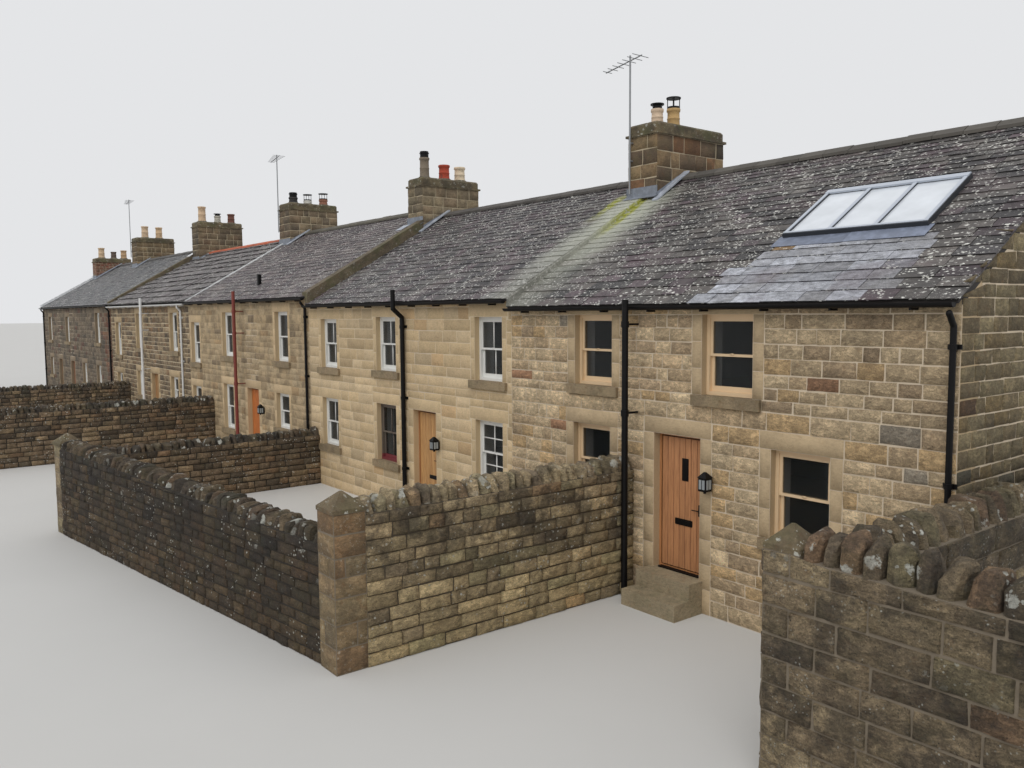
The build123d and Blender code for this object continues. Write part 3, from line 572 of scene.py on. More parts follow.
def stone_finish(f, tooling, base=None, soot=0.0, high=None, moss=0.0, iron=0.25, texture=1.0, riven=0.0,
                 lichen=0.0, blot=0.05, spread=0.0, rare=0.0):
    """Sandstone: each stone's own colour with beds, blotches of ochre, dark skin, pits and tool marks, and
    painted shade in riven clefts.
    """
    grain = f.noise(0.014, 5, 0.7)
    beds = f.noise(0.06, 5, 0.65, (1.0, 1.0, 2.4))
    mottle = (beds - 0.5) * 1.1 + (grain - 0.5) * 0.9 + (f.noise(0.25) - 0.5) * 0.5
    colour = f.shade(base or f.tint(), 1.0 + mottle * texture)
    colour = f.patches(colour, (152, 108, 62), iron, 0.54, 0.7, 0.1, 4, 0.65)
    colour = f.shade(colour, 1 - f.fade(f.noise(0.03, 4, 0.7), 0.58, 0.68) * (0.45 * texture))
    if riven:
        cleft = f.noise(0.12, 5, 0.66, (1.0, 1.0, 1.7))
        crack_shade = f.fade((cleft - 0.5).size(), 0.0, 0.035)
        # Painted shade: dark lines along the clefts of riven stone and darker low parts, following its bump
        colour = f.shade(colour, 0.5 + crack_shade * 0.32 + f.fade(cleft, 0.34, 0.6) * 0.38)
    if soot:
        skin = f.fade(f.noise(0.4, 5, 0.7), 0.42, 0.6) * soot
        if high:
            skin = skin * (0.25 + f.fade(f.axis("Z") + f.noise(0.8) * 0.8 - 0.4, *high) * 0.95)
        colour = f.mix(skin, colour, (46, 42, 39))
    if moss:
        colour = f.patches(colour, (88, 90, 56), moss, 0.46, 0.64, 0.3, 4, 0.6)
    if lichen:
        colour = lichen_spots(f, colour, lichen, blot, 0.55 + rare, spread)
    normal = f.bump(f.fade(f.noise(0.03, 5, 0.7), 0.3, 0.62) * 0.7 + grain * 0.3, tooling)
    if riven:
        normal = f.bump(cleft, riven, normal)
    return f.done(colour, 0.82 + grain * 0.12, normal)


def bed_finish(f, style, front=False):
    """A wall's own solid: mortar, and on a front dressed stone in the reveals and plaster inside."""
    grit = f.noise(0.02, 4, 0.6)
    colour = style.mortar
    if front:
        facing = f.node("SeparateXYZ", {}, {0: f.node("NewGeometry", {}, {}, "Normal")}, "Y").size()
        colour = f.mix(f.fade(facing, 0.4, 0.6), style.dressed, colour)
    colour = f.shade(colour, 0.72 + grit * 0.3 + f.noise(0.5) * 0.26)
    if front:
        x = f.axis("X")
        y = f.axis("Y")
        room = y.above(0.24) * (1 - y.above(DEPTH - 0.24))
        room = room * x.above(HOUSES[-1].x0 + 0.02) * (1 - x.above(HOUSES[0].x1 - 0.02))
        colour = f.mix(room, colour, f.shade((226, 226, 222), 0.85 + f.noise(0.6) * 0.3))
    return f.done(colour, 0.9, f.bump(grit + f.noise(0.006, 2) * 0.5, 0.003))


def slate_finish(f, streaks):
    """Slate or stone slate: riven face and flakes of lichen, with green runs below the first stack."""
    riven = f.noise(0.07, 5, 0.65, (0.6, 1.0, 1.0))
    fine = f.noise(0.014, 4, 0.7)
    colour = f.shade(f.tint(), 0.74 + (riven - 0.5) * 2.1 + (fine - 0.5) * 1.8)
    colour = f.patches(colour, (92, 72, 78), 0.3, 0.55, 0.66, 0.7, 2)
    colour = f.patches(colour, (136, 132, 126), 0.3, 0.5, 0.7, 0.9, 4, 0.6)
    growth = 0.9
    if streaks:
        middle = (STACKS[0][0] + STACKS[0][3]) / 2
        x = f.axis("X") - middle
        y = f.axis("Y")
        waver = (f.noise(0.5) - 0.5) * 0.35
        wash = 1 - f.fade((x + waver * 2 - 0.1).size(), 0.25, 1.05)
        wash = wash * (0.3 + f.fade(y, 0.2, 3.0) * 0.6) * f.fade(y * -1, -3.9, -3.2)
        wash = (wash * (0.7 + riven * 0.6)).least(1.0)
        colour = f.mix(wash, colour, f.shade((178, 180, 165), 0.72 + riven * 0.56))
        for centre, width, foot in ((-0.62, 0.2, 2.35), (0.13, 0.16, 1.8)):
            run = 1 - f.fade((x + waver * 0.6 - centre).size(), width * 0.25, width)
            drop = f.fade(y, foot, foot + 0.9) * (1 - f.fade(y, 3.35, 3.6))
            colour = f.mix(run * drop * f.fade(f.noise(0.1, 4, 0.7), 0.36, 0.5), colour, (150, 152, 52))
        growth = 1 - wash * 0.9
    clump = f.fade(f.noise(0.36, 5, 0.75), 0.46, 0.58)
    flake = 1 - f.fade(f.cells(0.085, (0.62, 1.0, 1.0)) + f.noise(0.03, 4, 0.75) * 0.8, 0.6, 0.66)
    chip = 1 - f.fade(f.cells(0.042, (0.7, 1.0, 1.0)) + f.noise(0.015) * 0.5, 0.48, 0.56)
    speckle = f.fade(f.noise(0.026, 5, 0.8, (0.7, 1.0, 1.0)), 0.57, 0.64)
    lichen = (flake * clump).most(chip * f.fade(f.noise(0.2), 0.46, 0.56))
    lichen = lichen.most(speckle * f.fade(f.noise(0.55, 4, 0.7), 0.44, 0.6) * 0.75)
    dry = 1 - f.fade(f.node("RGBToBW", {}, {"Color": f.tint()}, "Val"), 0.17, 0.3) * 0.85
    lichen = lichen * growth * dry
    colour = f.mix(lichen, colour, (220, 219, 212))
    return f.done(colour, 0.45 + riven * 0.3 + lichen * 0.25, f.bump(riven + fine * 0.3, 0.006))


def plain_finish(f, colour, roughness, grain=0.01, depth=0.0006, stain=None, cloudy=0.168, fleck=0.072,
                 **fixed):
    """Paint, metal or plastic: slight waves, dulled patches and dirt in a cloudy pattern."""
    cloud = f.noise(0.25, 4, 0.6)
    fine = f.noise(grain)
    skin = f.shade(colour, 0.88 + cloud * cloudy + fine * fleck)
    if stain:
        skin = f.patches(skin, stain, 0.6, 0.55, 0.75, 0.09, 4, 0.65)
    return f.done(skin, roughness + cloud * 0.14, f.bump(fine, depth), **fixed)


def window_paint(f):
    """White paint of the sashes; one window in the second house is brown with a crimson bottom rail."""
    house = HOUSES[1]
    x0, x1, z0, z1 = min((w for w in house.windows if w[3] < 3),
                         key=lambda w: abs(w[0] + w[1] - house.x0 - house.x1))
    x = f.axis("X")
    z = f.axis("Z")
    here = x.above(x0 - 0.05) * (1 - x.above(x1 + 0.05)) * (1 - z.above(z1 + 0.05))
    skin = f.mix(here, (228, 228, 224), (104, 94, 84))
    skin = f.mix(here * (1 - z.above(z0 + 0.16)), skin, (122, 52, 58))
    return plain_finish(f, skin, 0.45, cloudy=0.17, fleck=0.07)


def wood_finish(f, colour, dark):
    """Oak with upright grain: stretched noise and fine pores over a slow change of colour."""
    grain = f.noise(0.02, 5, 0.6, (1.0, 1.0, 0.07))
    pores = f.noise(0.004, 3, 0.6, (1.0, 1.0, 0.05))
    skin = f.mix(f.fade(grain, 0.35, 0.75) * 0.45, colour or f.tint(), dark)
    skin = f.shade(skin, 0.78 + pores * 0.3 + f.noise(0.4) * 0.16)
    return f.done(skin, 0.45 + grain * 0.25, f.bump(grain * 0.6 + pores * 0.4, 0.0012))


def glass_finish(f, colour, alpha):
    """Sheet glass: partly clear and partly a painted colour, with the slight waves of old panes."""
    wave = f.noise(0.35, 2)
    return f.done(f.shade(colour, 0.8 + wave * 0.4), 0.04 + wave * 0.05, f.bump(wave, 0.0015), Alpha=alpha)


def lead_finish(f):
    """Lead sheet: grey with pale bloom and dressed dents."""
    bloom = f.fade(f.noise(0.12, 4, 0.6), 0.4, 0.7)
    return f.done(f.shade(f.tint(), 0.82 + bloom * 0.36), 0.5 + bloom * 0.2, f.bump(f.noise(0.06), 0.006))


def clay_finish(f):
    """Fired clay of the pots and ridge: each one's own colour with soot and bloom."""
    speck = f.noise(0.008)
    skin = f.shade(f.tint(), 0.72 + speck * 0.2 + f.noise(0.15) * 0.35)
    skin = f.patches(skin, (78, 72, 66), 0.55, 0.52, 0.72, 0.09, 4, 0.6)
    return f.done(skin, 0.85, f.bump(speck, 0.002))


def board_finish(f, colour):
    """Floorboards: grooves between boards, and slow changes of shade along them."""
    board = f.node("TexWave", {"bands_direction": "X"}, {"Vector": f.place, "Scale": 0.5 / (0.15 * SCALE)})
    skin = f.shade(colour, 0.7 + f.noise(0.3, 3, 0.5, (0.1, 4.0, 1.0)) * 0.5)
    return f.done(f.mix(1 - f.fade(board, 0.0, 0.08), skin, (40, 30, 22)), 0.6, f.bump(board, 0.002))


@dataclass
class Style:
    """Stonework: height of a course, least and most length of a stone, joint, how far the stones stand out
    and how rough they are, their colours with shares, and the colours of the mortar and of dressed stone."""
    course: float
    length: tuple
    joint: float
    proud: float
    rough: float
    stones: dict
    mortar: tuple
    dressed: tuple = None


STYLES = {
    "a": Style(0.185, (0.3, 0.46), 0.012, 0.011, 0.006,
               {(184, 163, 131): 6, (174, 152, 121): 5, (194, 173, 140): 4, (163, 142, 114): 3,
                (152, 116, 88): 0.35, (144, 134, 118): 0.3, (180, 153, 114): 2.5},
               (208, 192, 168), (185, 163, 130)),
    "b": Style(0.235, (0.42, 0.68), 0.007, 0.003, 0.0012,
               {(203, 179, 142): 6, (198, 174, 136): 5, (208, 185, 149): 4, (193, 169, 132): 3,
                (199, 169, 128): 1, (186, 165, 132): 1}, (214, 196, 166), (204, 180, 142)),
    "c": Style(0.17, (0.32, 0.5), 0.006, 0.005, 0.003,
               {(192, 169, 134): 6, (184, 161, 126): 6, (199, 177, 142): 5, (168, 147, 116): 1.5,
                (146, 128, 102): 0.6, (184, 156, 118): 1}, (182, 162, 130), (196, 172, 136)),
    "d": Style(0.165, (0.24, 0.42), 0.018, 0.014, 0.006,
               {(160, 139, 110): 5, (140, 121, 96): 5, (176, 155, 124): 3, (120, 105, 86): 3,
                (150, 122, 92): 1},
               (204, 188, 158), (180, 158, 124)),
    "e": Style(0.2, (0.3, 0.5), 0.008, 0.008, 0.005,
               {(122, 110, 92): 5, (132, 118, 98): 5, (106, 96, 82): 4, (138, 122, 102): 3,
                (114, 84, 70): 1.5},
               (140, 126, 108), (136, 120, 98)),
    "stack": Style(0.26, (0.28, 0.44), 0.014, 0.011, 0.005,
                   {(150, 126, 94): 5, (112, 94, 74): 4, (166, 142, 106): 3, (84, 72, 62): 2,
                    (130, 96, 68): 2},
                   (182, 168, 142)),
    "brick": Style(0.075, (0.2, 0.235), 0.01, 0.005, 0.001,
                   {(122, 62, 50): 4, (104, 54, 46): 3, (136, 74, 58): 2}, (128, 116, 104)),
    "garden": Style(0.17, (0.26, 0.5), 0.013, 0.026, 0.012,
                    {(142, 126, 99): 5, (130, 116, 92): 5, (154, 138, 109): 4, (116, 103, 84): 2,
                     (142, 119, 90): 1, (136, 125, 98): 1.5}, (80, 71, 58)),
    "path": Style(0.135, (0.24, 0.42), 0.014, 0.02, 0.008,
                  {(84, 73, 59): 5, (74, 64, 52): 5, (94, 82, 65): 3, (64, 57, 48): 3, (86, 71, 55): 2},
                  (50, 45, 38)),
    "near": Style(0.25, (0.46, 0.8), 0.02, 0.022, 0.012,
                  {(148, 130, 103): 5, (136, 120, 95): 5, (160, 142, 112): 4, (122, 107, 86): 2,
                   (146, 119, 92): 1.2, (144, 131, 101): 2}, (124, 113, 97)),
    "quoin": Style(0.29, (0.3, 0.42), 0.012, 0.012, 0.005,
                   {(148, 126, 94): 4, (138, 112, 82): 3, (156, 136, 102): 3, (126, 110, 84): 2},
                   (120, 106, 84)),
}
# How much lighter the stones of each front are in its lower storey
LOW_GAIN = {"a": 0.4, "b": 0.05, "c": 0.0, "d": -0.1, "e": -0.1}
# Soot on each front
FRONT_SOOT = {"a": 0.22, "b": 0.08, "c": 0.35, "d": 0.4, "e": 0.45}
# Stones of the stacks are lighter on the side that faces the near end and darker on their other faces, which
# is painted shade, and some have their own tone
STACK_PAINTED_SHADE = {1: 1.0, -1: 0.8, 0: 0.78}
STACK_TONE = {1: (148, 136, 112), 2: (134, 120, 100), 3: (112, 100, 82), 4: (130, 112, 86)}
# Cope stones of each kind of wall: step from one to the next, joint, and shade against the wall's stones
COPES = {"garden": (0.155, 0.012, 1.75), "path": (0.155, 0.012, 1.6), "near": (0.21, 0.022, 0.85)}
# Mortar under the copes: how far its foot is inside the wall, height against the cope's, colour
MORTAR = (0.035, 0.6, (110, 99, 82))
NEAR_MORTAR = (0.018, 0.7, (138, 127, 110))


def front(house):
    """Stones of a front: dressed lintels and jambs, and courses broken round them and the openings."""
    style = STYLES[house.name]
    jamb = WIDE_JAMB if house.name == "a" else JAMB
    top = house.top(0) - EAVES_EDGE - BED
    blocks = []
    dressed = []
    for x0, x1, z0, z1 in house.windows:
        seat = z0 + SILL_SEAT
        head = (x0 - HEAD_REACH, x1 + HEAD_REACH, z1, min(z1 + LINTEL, top))
        sill = (x0 - SILL_REACH, x1 + SILL_REACH, z0 - SILL_TALL, seat)
        sides = [(x0 - jamb, x0, seat, z1), (x1, x1 + jamb, seat, z1)]
        blocks += [(x0, x1, z0, z1), sill, head, *sides]
        if head[3] - z1 > 0.03:
            dressed.append(head)
        for side in sides:
            dressed += split_block(*side, JAMB_BLOCK)
    for x0, x1, _, z1 in house.doors:
        lintel = (x0 - LINTEL_REACH, x1 + LINTEL_REACH, z1, min(z1 + LINTEL, top))
        left = (x0 - DOOR_JAMB, x0, 0, z1)
        right = (x1, x1 + DOOR_JAMB, 0, z1)
        blocks += [(x0, x1, 0, z1), lintel, left, right]
        dressed += [lintel, *split_block(*left, 0.4), *split_block(*right, 0.36)]
    marks = []
    for mark in sorted(z for block in blocks for z in block[2:] if 0.2 < z < top - 0.1):
        if not marks or mark - marks[-1] > style.course * 0.8:
            marks.append(mark)

    def tone(stones, tints):
        """The lower storey differs, house A is lighter to the left, and the near end of house E is redder."""
        low = np.clip((3.1 - stones[:, 2:3]) / 0.9, 0, 1)
        tints = tints * (1 + LOW_GAIN[house.name] * low)
        if house.name == "a":
            left = np.clip((house.x0 + 5.4 - stones[:, :1]) / 2.0, 0, 1)
            tints = tints * (1 + (0.12 + 0.34 * left) * (1 - low))
        if house.name == "e":
            red = (stones[:, 0] > house.x1 - 1.3 + rng.normal(0, 0.2, len(stones)))[:, None]
            tints = np.where(red, tints * [1.05, 0.72, 0.62], tints)
        return tints

    face = Plane((0, 0), (0, -1))
    heap = Heap()
    build(heap, face, style, lay(house.x0, house.x1, 0.0, top, style, blocks, marks), 0.08, tone)
    dress(face, dressed, style, style.proud * 1.15, 0.008)
    heap.piece("front_stones_" + house.name, "stone_" + house.name)


def gables():
    """Both end walls, darker than the fronts and darkest at their foot."""
    def tone(stones, tints):
        return tints * [0.5, 0.52, 0.46] * (0.72 + 0.28 * np.clip((stones[:, 2:3] - 1.5) / 1.5, 0, 1))

    first = HOUSES[0]
    last = HOUSES[-1]
    for name, house, x, out in (("right", first, first.x1, 1), ("left", last, last.x0, -1)):
        style = STYLES[house.name]
        style = replace(style, rough=style.rough * 1.3)
        stones = lay(*sorted((0.0, DEPTH * out)), 0.0, house.ridge, style, taller=1.05)
        heap = Heap()
        build(heap, Plane((x, 0), (out, 0)), style, stones, 0.14, tone, lambda u: house.top(abs(u)) - 0.006)
        heap.piece("gable_stones_" + name, "stone_" + house.name)


def back():
    """Plain courses over the back with lintels and sills at its windows."""
    heap = Heap()
    face = Plane((0, DEPTH), (0, 1))
    for house in HOUSES:
        style = STYLES[house.name]
        top = house.top(DEPTH) - EAVES_EDGE - BED
        blocks = []
        dressed = []
        for x0, x1, z0, z1 in house.back_windows:
            head = (-x1 - 0.17, -x0 + 0.17, z1, min(z1 + 0.2, top))
            sill = (-x1 - 0.13, -x0 + 0.13, z0 - 0.14, z0)
            blocks += [(-x1, -x0, z0, z1), head, sill]
            dressed += [head, sill]
        stones = lay(-house.x1, -house.x0, 0.0, top, style, blocks, taller=1.1)
        build(heap, face, style, stones, tone=lambda stones, tints: tints * 0.95, cells=(6, 5))
        dress(face, dressed, style, 0.02, 0.006)
    heap.piece("back_stones", "stone_c")


def stack_stones():
    """Courses on the four faces of each stack, from inside the roof up to the cap."""
    heap = Heap()
    for index, (x0, y0, z0, x1, y1, z1) in enumerate(STACKS):
        style = STYLES["brick" if index == len(STACKS) - 1 else "stack"]
        beside = [h for h in HOUSES if h.x0 < x1 and h.x1 > x0]
        for origin, out, u0, u1 in (((0, y0), (0, -1), x0, x1), ((0, y1), (0, 1), -x1, -x0),
                                    ((x1, 0), (1, 0), y0, y1), ((x0, 0), (-1, 0), -y1, -y0)):
            def tone(stones, tints):
                if index in STACK_TONE:
                    tints = tints * 0.3 + paint(*STACK_TONE[index]) * 0.7
                # Painted shade: each face of the stack is made lighter or darker by the way it faces
                return tints * STACK_PAINTED_SHADE[out[0]]

            stones = lay(u0 - 0.006, u1 + 0.006, z0 - 0.1, z1, style)
            if out[0]:
                y = np.abs(stones[:, :2]).min(1)
                stones = stones[stones[:, 3] > np.min([h.top(y) - ROOF_T for h in beside], 0)]
            build(heap, Plane(origin, out), style, stones, 0.12, tone)
    heap.piece("stack_stones", "stack_stone")


def garden_stones(name, runs, foot, crown, material="garden_stone", cells=(6, 5)):
    """Coursed rubble on the faces of garden walls, cut along their sloping tops. Its colours go from foot to
    crown, and many stones of the upper part are blackened."""
    heap = Heap()
    for run in runs:
        for index, (plane, u0, u1, top0, top1) in enumerate(run.faces()):
            if index in run.apart:
                continue
            top = max(top0, top1)

            def tone(stones, tints):
                part = (stones[:, 2:3] / top).clip(0, 1)
                tints = tints * (np.array(foot) * (1 - part) + np.array(crown) * part)
                blackened = (stones[:, 2] > top * 0.45) & (rng.random(len(stones)) < 0.4)
                return tints * np.where(blackened, rng.uniform(0.5, 0.85, len(stones)), 1.08)[:, None]

            style = STYLES[run.style]
            build(heap, plane, style, lay(u0, u1, 0.0, top, style), 0.12, tone,
                  lambda u: top0 + (top1 - top0) * (u - u0) / (u1 - u0), cells=cells, wobble=0.006)
    if NEAR_WALL in runs:
        near_front(heap)
    heap.piece(name, material)


def near_front(heap):
    """The near wall's courses run on over its flush pier and end in long and short corner stones."""
    px, py, top, _, width = PIERS[3]
    left = px - width / 2
    x0, y = NEAR_WALL.start
    x1 = NEAR_WALL.finish[0]
    style = STYLES["near"]
    lines = bed_lines(0.0, top, style.course)
    stones = []
    ends = []
    for k, (z0, z1) in enumerate(zip(lines, lines[1:])):
        reach = left + (0.52 if k % 2 else 0.27)
        stones += [(left, reach, z0, z1)] + lay_course(reach, x1, z0, z1, (), style.length)
        ends.append((-py - width / 2, -py + width / 2, z0, z1))

    def tone(stones, tints):
        return tints * (1.15 - 0.4 * (stones[:, :1] - left) / (x1 - left) - 0.2 * stones[:, 2:3] / top)

    def line(u):
        wall_top = NEAR_WALL.low + (NEAR_WALL.high - NEAR_WALL.low) * (u - x0) / (x1 - x0)
        return np.where(u < left + width - 0.001, top, wall_top)

    build(heap, Plane((0, y - GARDEN_T / 2), (0, -1)), style, np.array(stones), 0.1, tone, line, cells=(9, 7))
    build(heap, Plane((left, 0), (-1, 0)), replace(style, joint=0.012), np.array(ends), cells=(6, 6))


def pier_stones():
    """Large squared blocks on the four faces of each free pier; the one by the first garden is tan."""
    heap = Heap()
    for index, (x, y, top, turn, width) in enumerate(PIERS[:3]):
        style = replace(STYLES["near" if index else "quoin"], joint=0.012, proud=0.009, rough=0.004)
        half = width / 2
        lines = bed_lines(0.0, top, 0.29)
        for quarter in range(4):
            angle = math.radians(turn + quarter * 90)
            out = np.array([math.cos(angle), math.sin(angle)])
            stones = []
            for k, (z0, z1) in enumerate(zip(lines, lines[1:])):
                cut = half * (0.35 if (k + quarter) % 2 else -0.35)
                ends = (-half, cut, half) if k % 3 == 1 else (-half, half)
                stones += [(u0, u1, z0, z1) for u0, u1 in zip(ends, ends[1:])]
            build(heap, Plane(out * half + (x, y), out), style, np.array(stones), wobble=0.003)
    heap.piece("pier_stones", "quoin_stone")


def cope_stones():
    """Stones set on edge along each wall. Across the wall a stone is a rounded arch of powers of the cosine
    and sine; along the wall it swells from its two joints, and each one has its own height, width and lean."""
    heap = Heap()
    for run in RUNS:
        step, joint, shade = COPES[run.style]
        fine = run.style != "path"
        arch = np.linspace(0, math.pi, 14 if fine else 9)
        across = np.cos(arch)
        up = np.sin(arch)
        station = np.array([0, 0.06, 0.2, 0.4, 0.6, 0.8, 0.94, 1] if fine else [0, 0.1, 0.35, 0.65, 0.9, 1])
        along = (2 * station - 1)[:, None]
        count = round(run.length / step)
        share = np.concatenate([[0], np.cumsum(rng.uniform(0.7, 1.35, count))])
        edges = run.length * share / share[-1]
        tall = each(run.rise * rng.uniform(0.76, 1.0, count))
        half = each(GARDEN_T / 2 * rng.uniform(0.9, 1.03, count))
        square = each(rng.uniform(0.3, 0.6, count))
        lean = each(rng.normal(0, 0.016, count))
        size = (1 - 0.3 * np.abs(along) ** 6) * rng.normal(1, 0.018, (count, len(station), len(arch)))
        form = np.stack([along + 0 * size, np.sign(across) * np.abs(across) ** square * size,
                         np.abs(up) ** (square * 0.95) * size], -1)
        # Random planes cut the stone, so that it looks broken
        for _ in range(7):
            aim = rng.normal(0, 1, (count, 1, 1, 3)) * [0.35, 1, 1]
            aim[..., 2] = np.abs(aim[..., 2])
            aim /= np.linalg.norm(aim, axis=-1, keepdims=True)
            over = (form * aim).sum(-1) - rng.uniform(0.86, 1.08, (count, 1, 1))
            form = form - np.maximum(over, 0)[..., None] * aim
        s = each(edges[:-1]) + joint / 2 + each(np.diff(edges) - joint) * (form[..., 0] + 1) / 2 + lean * up
        base = run.low + (run.high - run.low) * np.clip(s / run.length, 0, 1)
        z = np.where(up < 1e-3, base - 0.004, base + tall * np.maximum(form[..., 2], 0))
        plan = run.start + s[..., None] * run.way + (half * form[..., 1])[..., None] * run.left
        points = np.concatenate([plan, z[..., None]], -1)
        total = size[0].size
        faces = np.concatenate([grid_faces(len(station), len(arch), around=True), end_faces(len(arch)),
                                end_faces(len(arch), total - len(arch), True)])[:, ::-1]
        palette = paint(*STYLES[run.style].stones) * shade
        tints = palette[rng.integers(0, len(palette), count)]
        tints = tints * rng.normal(1.0, 0.12, (count, 1)).clip(0.7, 1.4)
        heap.add(points, copied(faces, count, total), np.repeat(tints, total, axis=0))
    heap.piece("cope_stones", "cope_stone", replaces=["garden_copes"], smooth=False)


def mortar_beds():
    """The bed of mortar under and between the cope stones, lower than their crowns."""
    heap = Heap()
    arch = np.linspace(0, math.pi, 10)
    across = np.cos(arch)
    for run in RUNS:
        inside, part, colour = NEAR_MORTAR if run.style == "near" else MORTAR
        half = GARDEN_T / 2 - inside
        outline = np.stack([-np.sign(across) * np.abs(across) ** 0.55 * half,
                            np.abs(np.sin(arch)) ** 0.45 * run.rise * part], -1)
        bar(heap, (*run.start, run.low - 0.002), (*run.finish, run.high - 0.002), outline, paint(*colour),
            (*-run.left, 0))
    heap.piece("cope_mortar", "cope_mortar")


# Slates of each house: height showing and width in the first and the last course, thickness, colours
SLATES = {
    "a": ((0.25, 0.135), (0.44, 0.25), 0.013,
          paint((80, 76, 74), (92, 87, 84), (66, 63, 64), (104, 98, 94), (86, 74, 78))),
    "b": ((0.24, 0.135), (0.4, 0.23), 0.013,
          paint((78, 73, 74), (88, 84, 84), (66, 62, 65), (98, 92, 90), (88, 76, 80))),
    "c": ((0.25, 0.14), (0.4, 0.26), 0.012, paint((88, 76, 78), (100, 90, 90), (76, 66, 70), (112, 100, 98))),
    "d": ((0.46, 0.44), (0.4, 0.4), 0.05, paint((108, 102, 102), (118, 112, 112), (96, 90, 91))),
    "e": ((0.24, 0.15), (0.4, 0.28), 0.012, paint((96, 97, 100), (106, 107, 109), (84, 85, 90))),
}


def course_spans(low, high, left, right, hole):
    """Runs of a course as left, right, lower edge, upper edge, cut round the rooflight."""
    if hole is None or high <= hole[2] or low >= hole[3]:
        return [(left, right, low, high)]
    spans = [(left, hole[0], low, high), (hole[1], right, low, high)]
    if low < hole[2]:
        spans.append((hole[0], hole[1], low, hole[2]))
    elif high > hole[3]:
        spans.append((hole[0], hole[1], hole[3], high))
    return spans


def slate_table(house, left, right, hole):
    """Every slate as left, right, lower and upper edge and height showing; courses narrow upwards."""
    (show0, show1), (wide0, wide1), _, _ = SLATES[house.name]
    spread = 0.02 if house.name == "d" else 0.22
    low = -0.03
    table = []
    while low < house.slant - show1 * 0.6:
        part = low / house.slant
        show = show0 + (show1 - show0) * part
        high = min(low + show * SLATE_LAP, house.slant)
        for a, b, v0, v1 in course_spans(low, high, left, right, hole):
            count = max(1, round((b - a) / (wide0 + (wide1 - wide0) * part)))
            share = np.cumsum(rng.uniform(1 - spread, 1 + spread, count + 1)) - rng.uniform(0.1, 0.9)
            edges = a + (b - a) * (share - share[0]) / (share[-1] - share[0])
            table += [(u0, u1, v0, v1, show) for u0, u1 in zip(edges, edges[1:])]
        low += show
    return np.array(table).T


def slate_tints(house, side, u, v):
    """Colours of slates, with the wet band below the rooflight painted pale as the sheen of wet slate, and a
    paler strip by the first joint.
    """
    palette = SLATES[house.name][3]
    tints = palette[rng.integers(0, len(palette), len(u))] * rng.normal(1, 0.19, (len(u), 1)).clip(0.6, 1.6)
    if side == "front" and house.name == "a":
        left = LIGHT[0] - 0.15
        right = LIGHT[3] + 0.1
        # Painted sheen: wet slates below the rooflight are painted pale and bluish, for the sky that they
        # reflect
        wet_sheen = (u > left - 0.25 * (v < 0.9)) & (u < right) & (v < 1.75)
        across = (u - left) / (right - left)
        part = (wet_sheen * (0.4 + 0.6 * rng.random(len(u))) * (1.25 - 0.5 * across)).clip(0, 1)[:, None]
        tints = tints * (1 - part) + paint(196, 199, 208) * part
        ochre = np.argmin((u - LIGHT[0] - 0.35) ** 2 + (v - 1.45) ** 2)
        tints[ochre] = paint(150, 120, 82)
    if side == "front" and house.name == "b":
        pale = ((u > house.x1 - 0.8) * (v < 2.4) * (0.25 + 0.45 * rng.random(len(u))))[:, None]
        tints = tints * (1 - pale) + paint(150, 148, 146) * pale
    return tints


def step_slip(heap, x, upper, lower, tint):
    """A slip of slates on edge that closes the step between two roofs, as tall as the step at each depth."""
    y = np.linspace(-EAVES_OUT, RIDGE_Y - 0.02, 24)
    low = lower.top(y) - 0.01
    high = upper.top(y) + 0.03 + rng.normal(0, 0.004, len(y))
    ring = np.array([(-0.012, 0), (-0.012, 1), (0.012, 0.75), (0.016, 0)])
    z = low[:, None] + (high - low)[:, None] * ring[:, 1]
    points = np.stack([x + ring[:, 0] + 0 * z, y[:, None] + 0 * z, z], -1)
    faces = np.concatenate([grid_faces(len(y), 4, around=True)[:, ::-1], end_faces(4),
                            end_faces(4, len(y) * 4 - 4, True)])
    heap.add(points, faces, np.repeat(tint * rng.uniform(0.5, 1.3, (len(y), 1)), 4, axis=0))


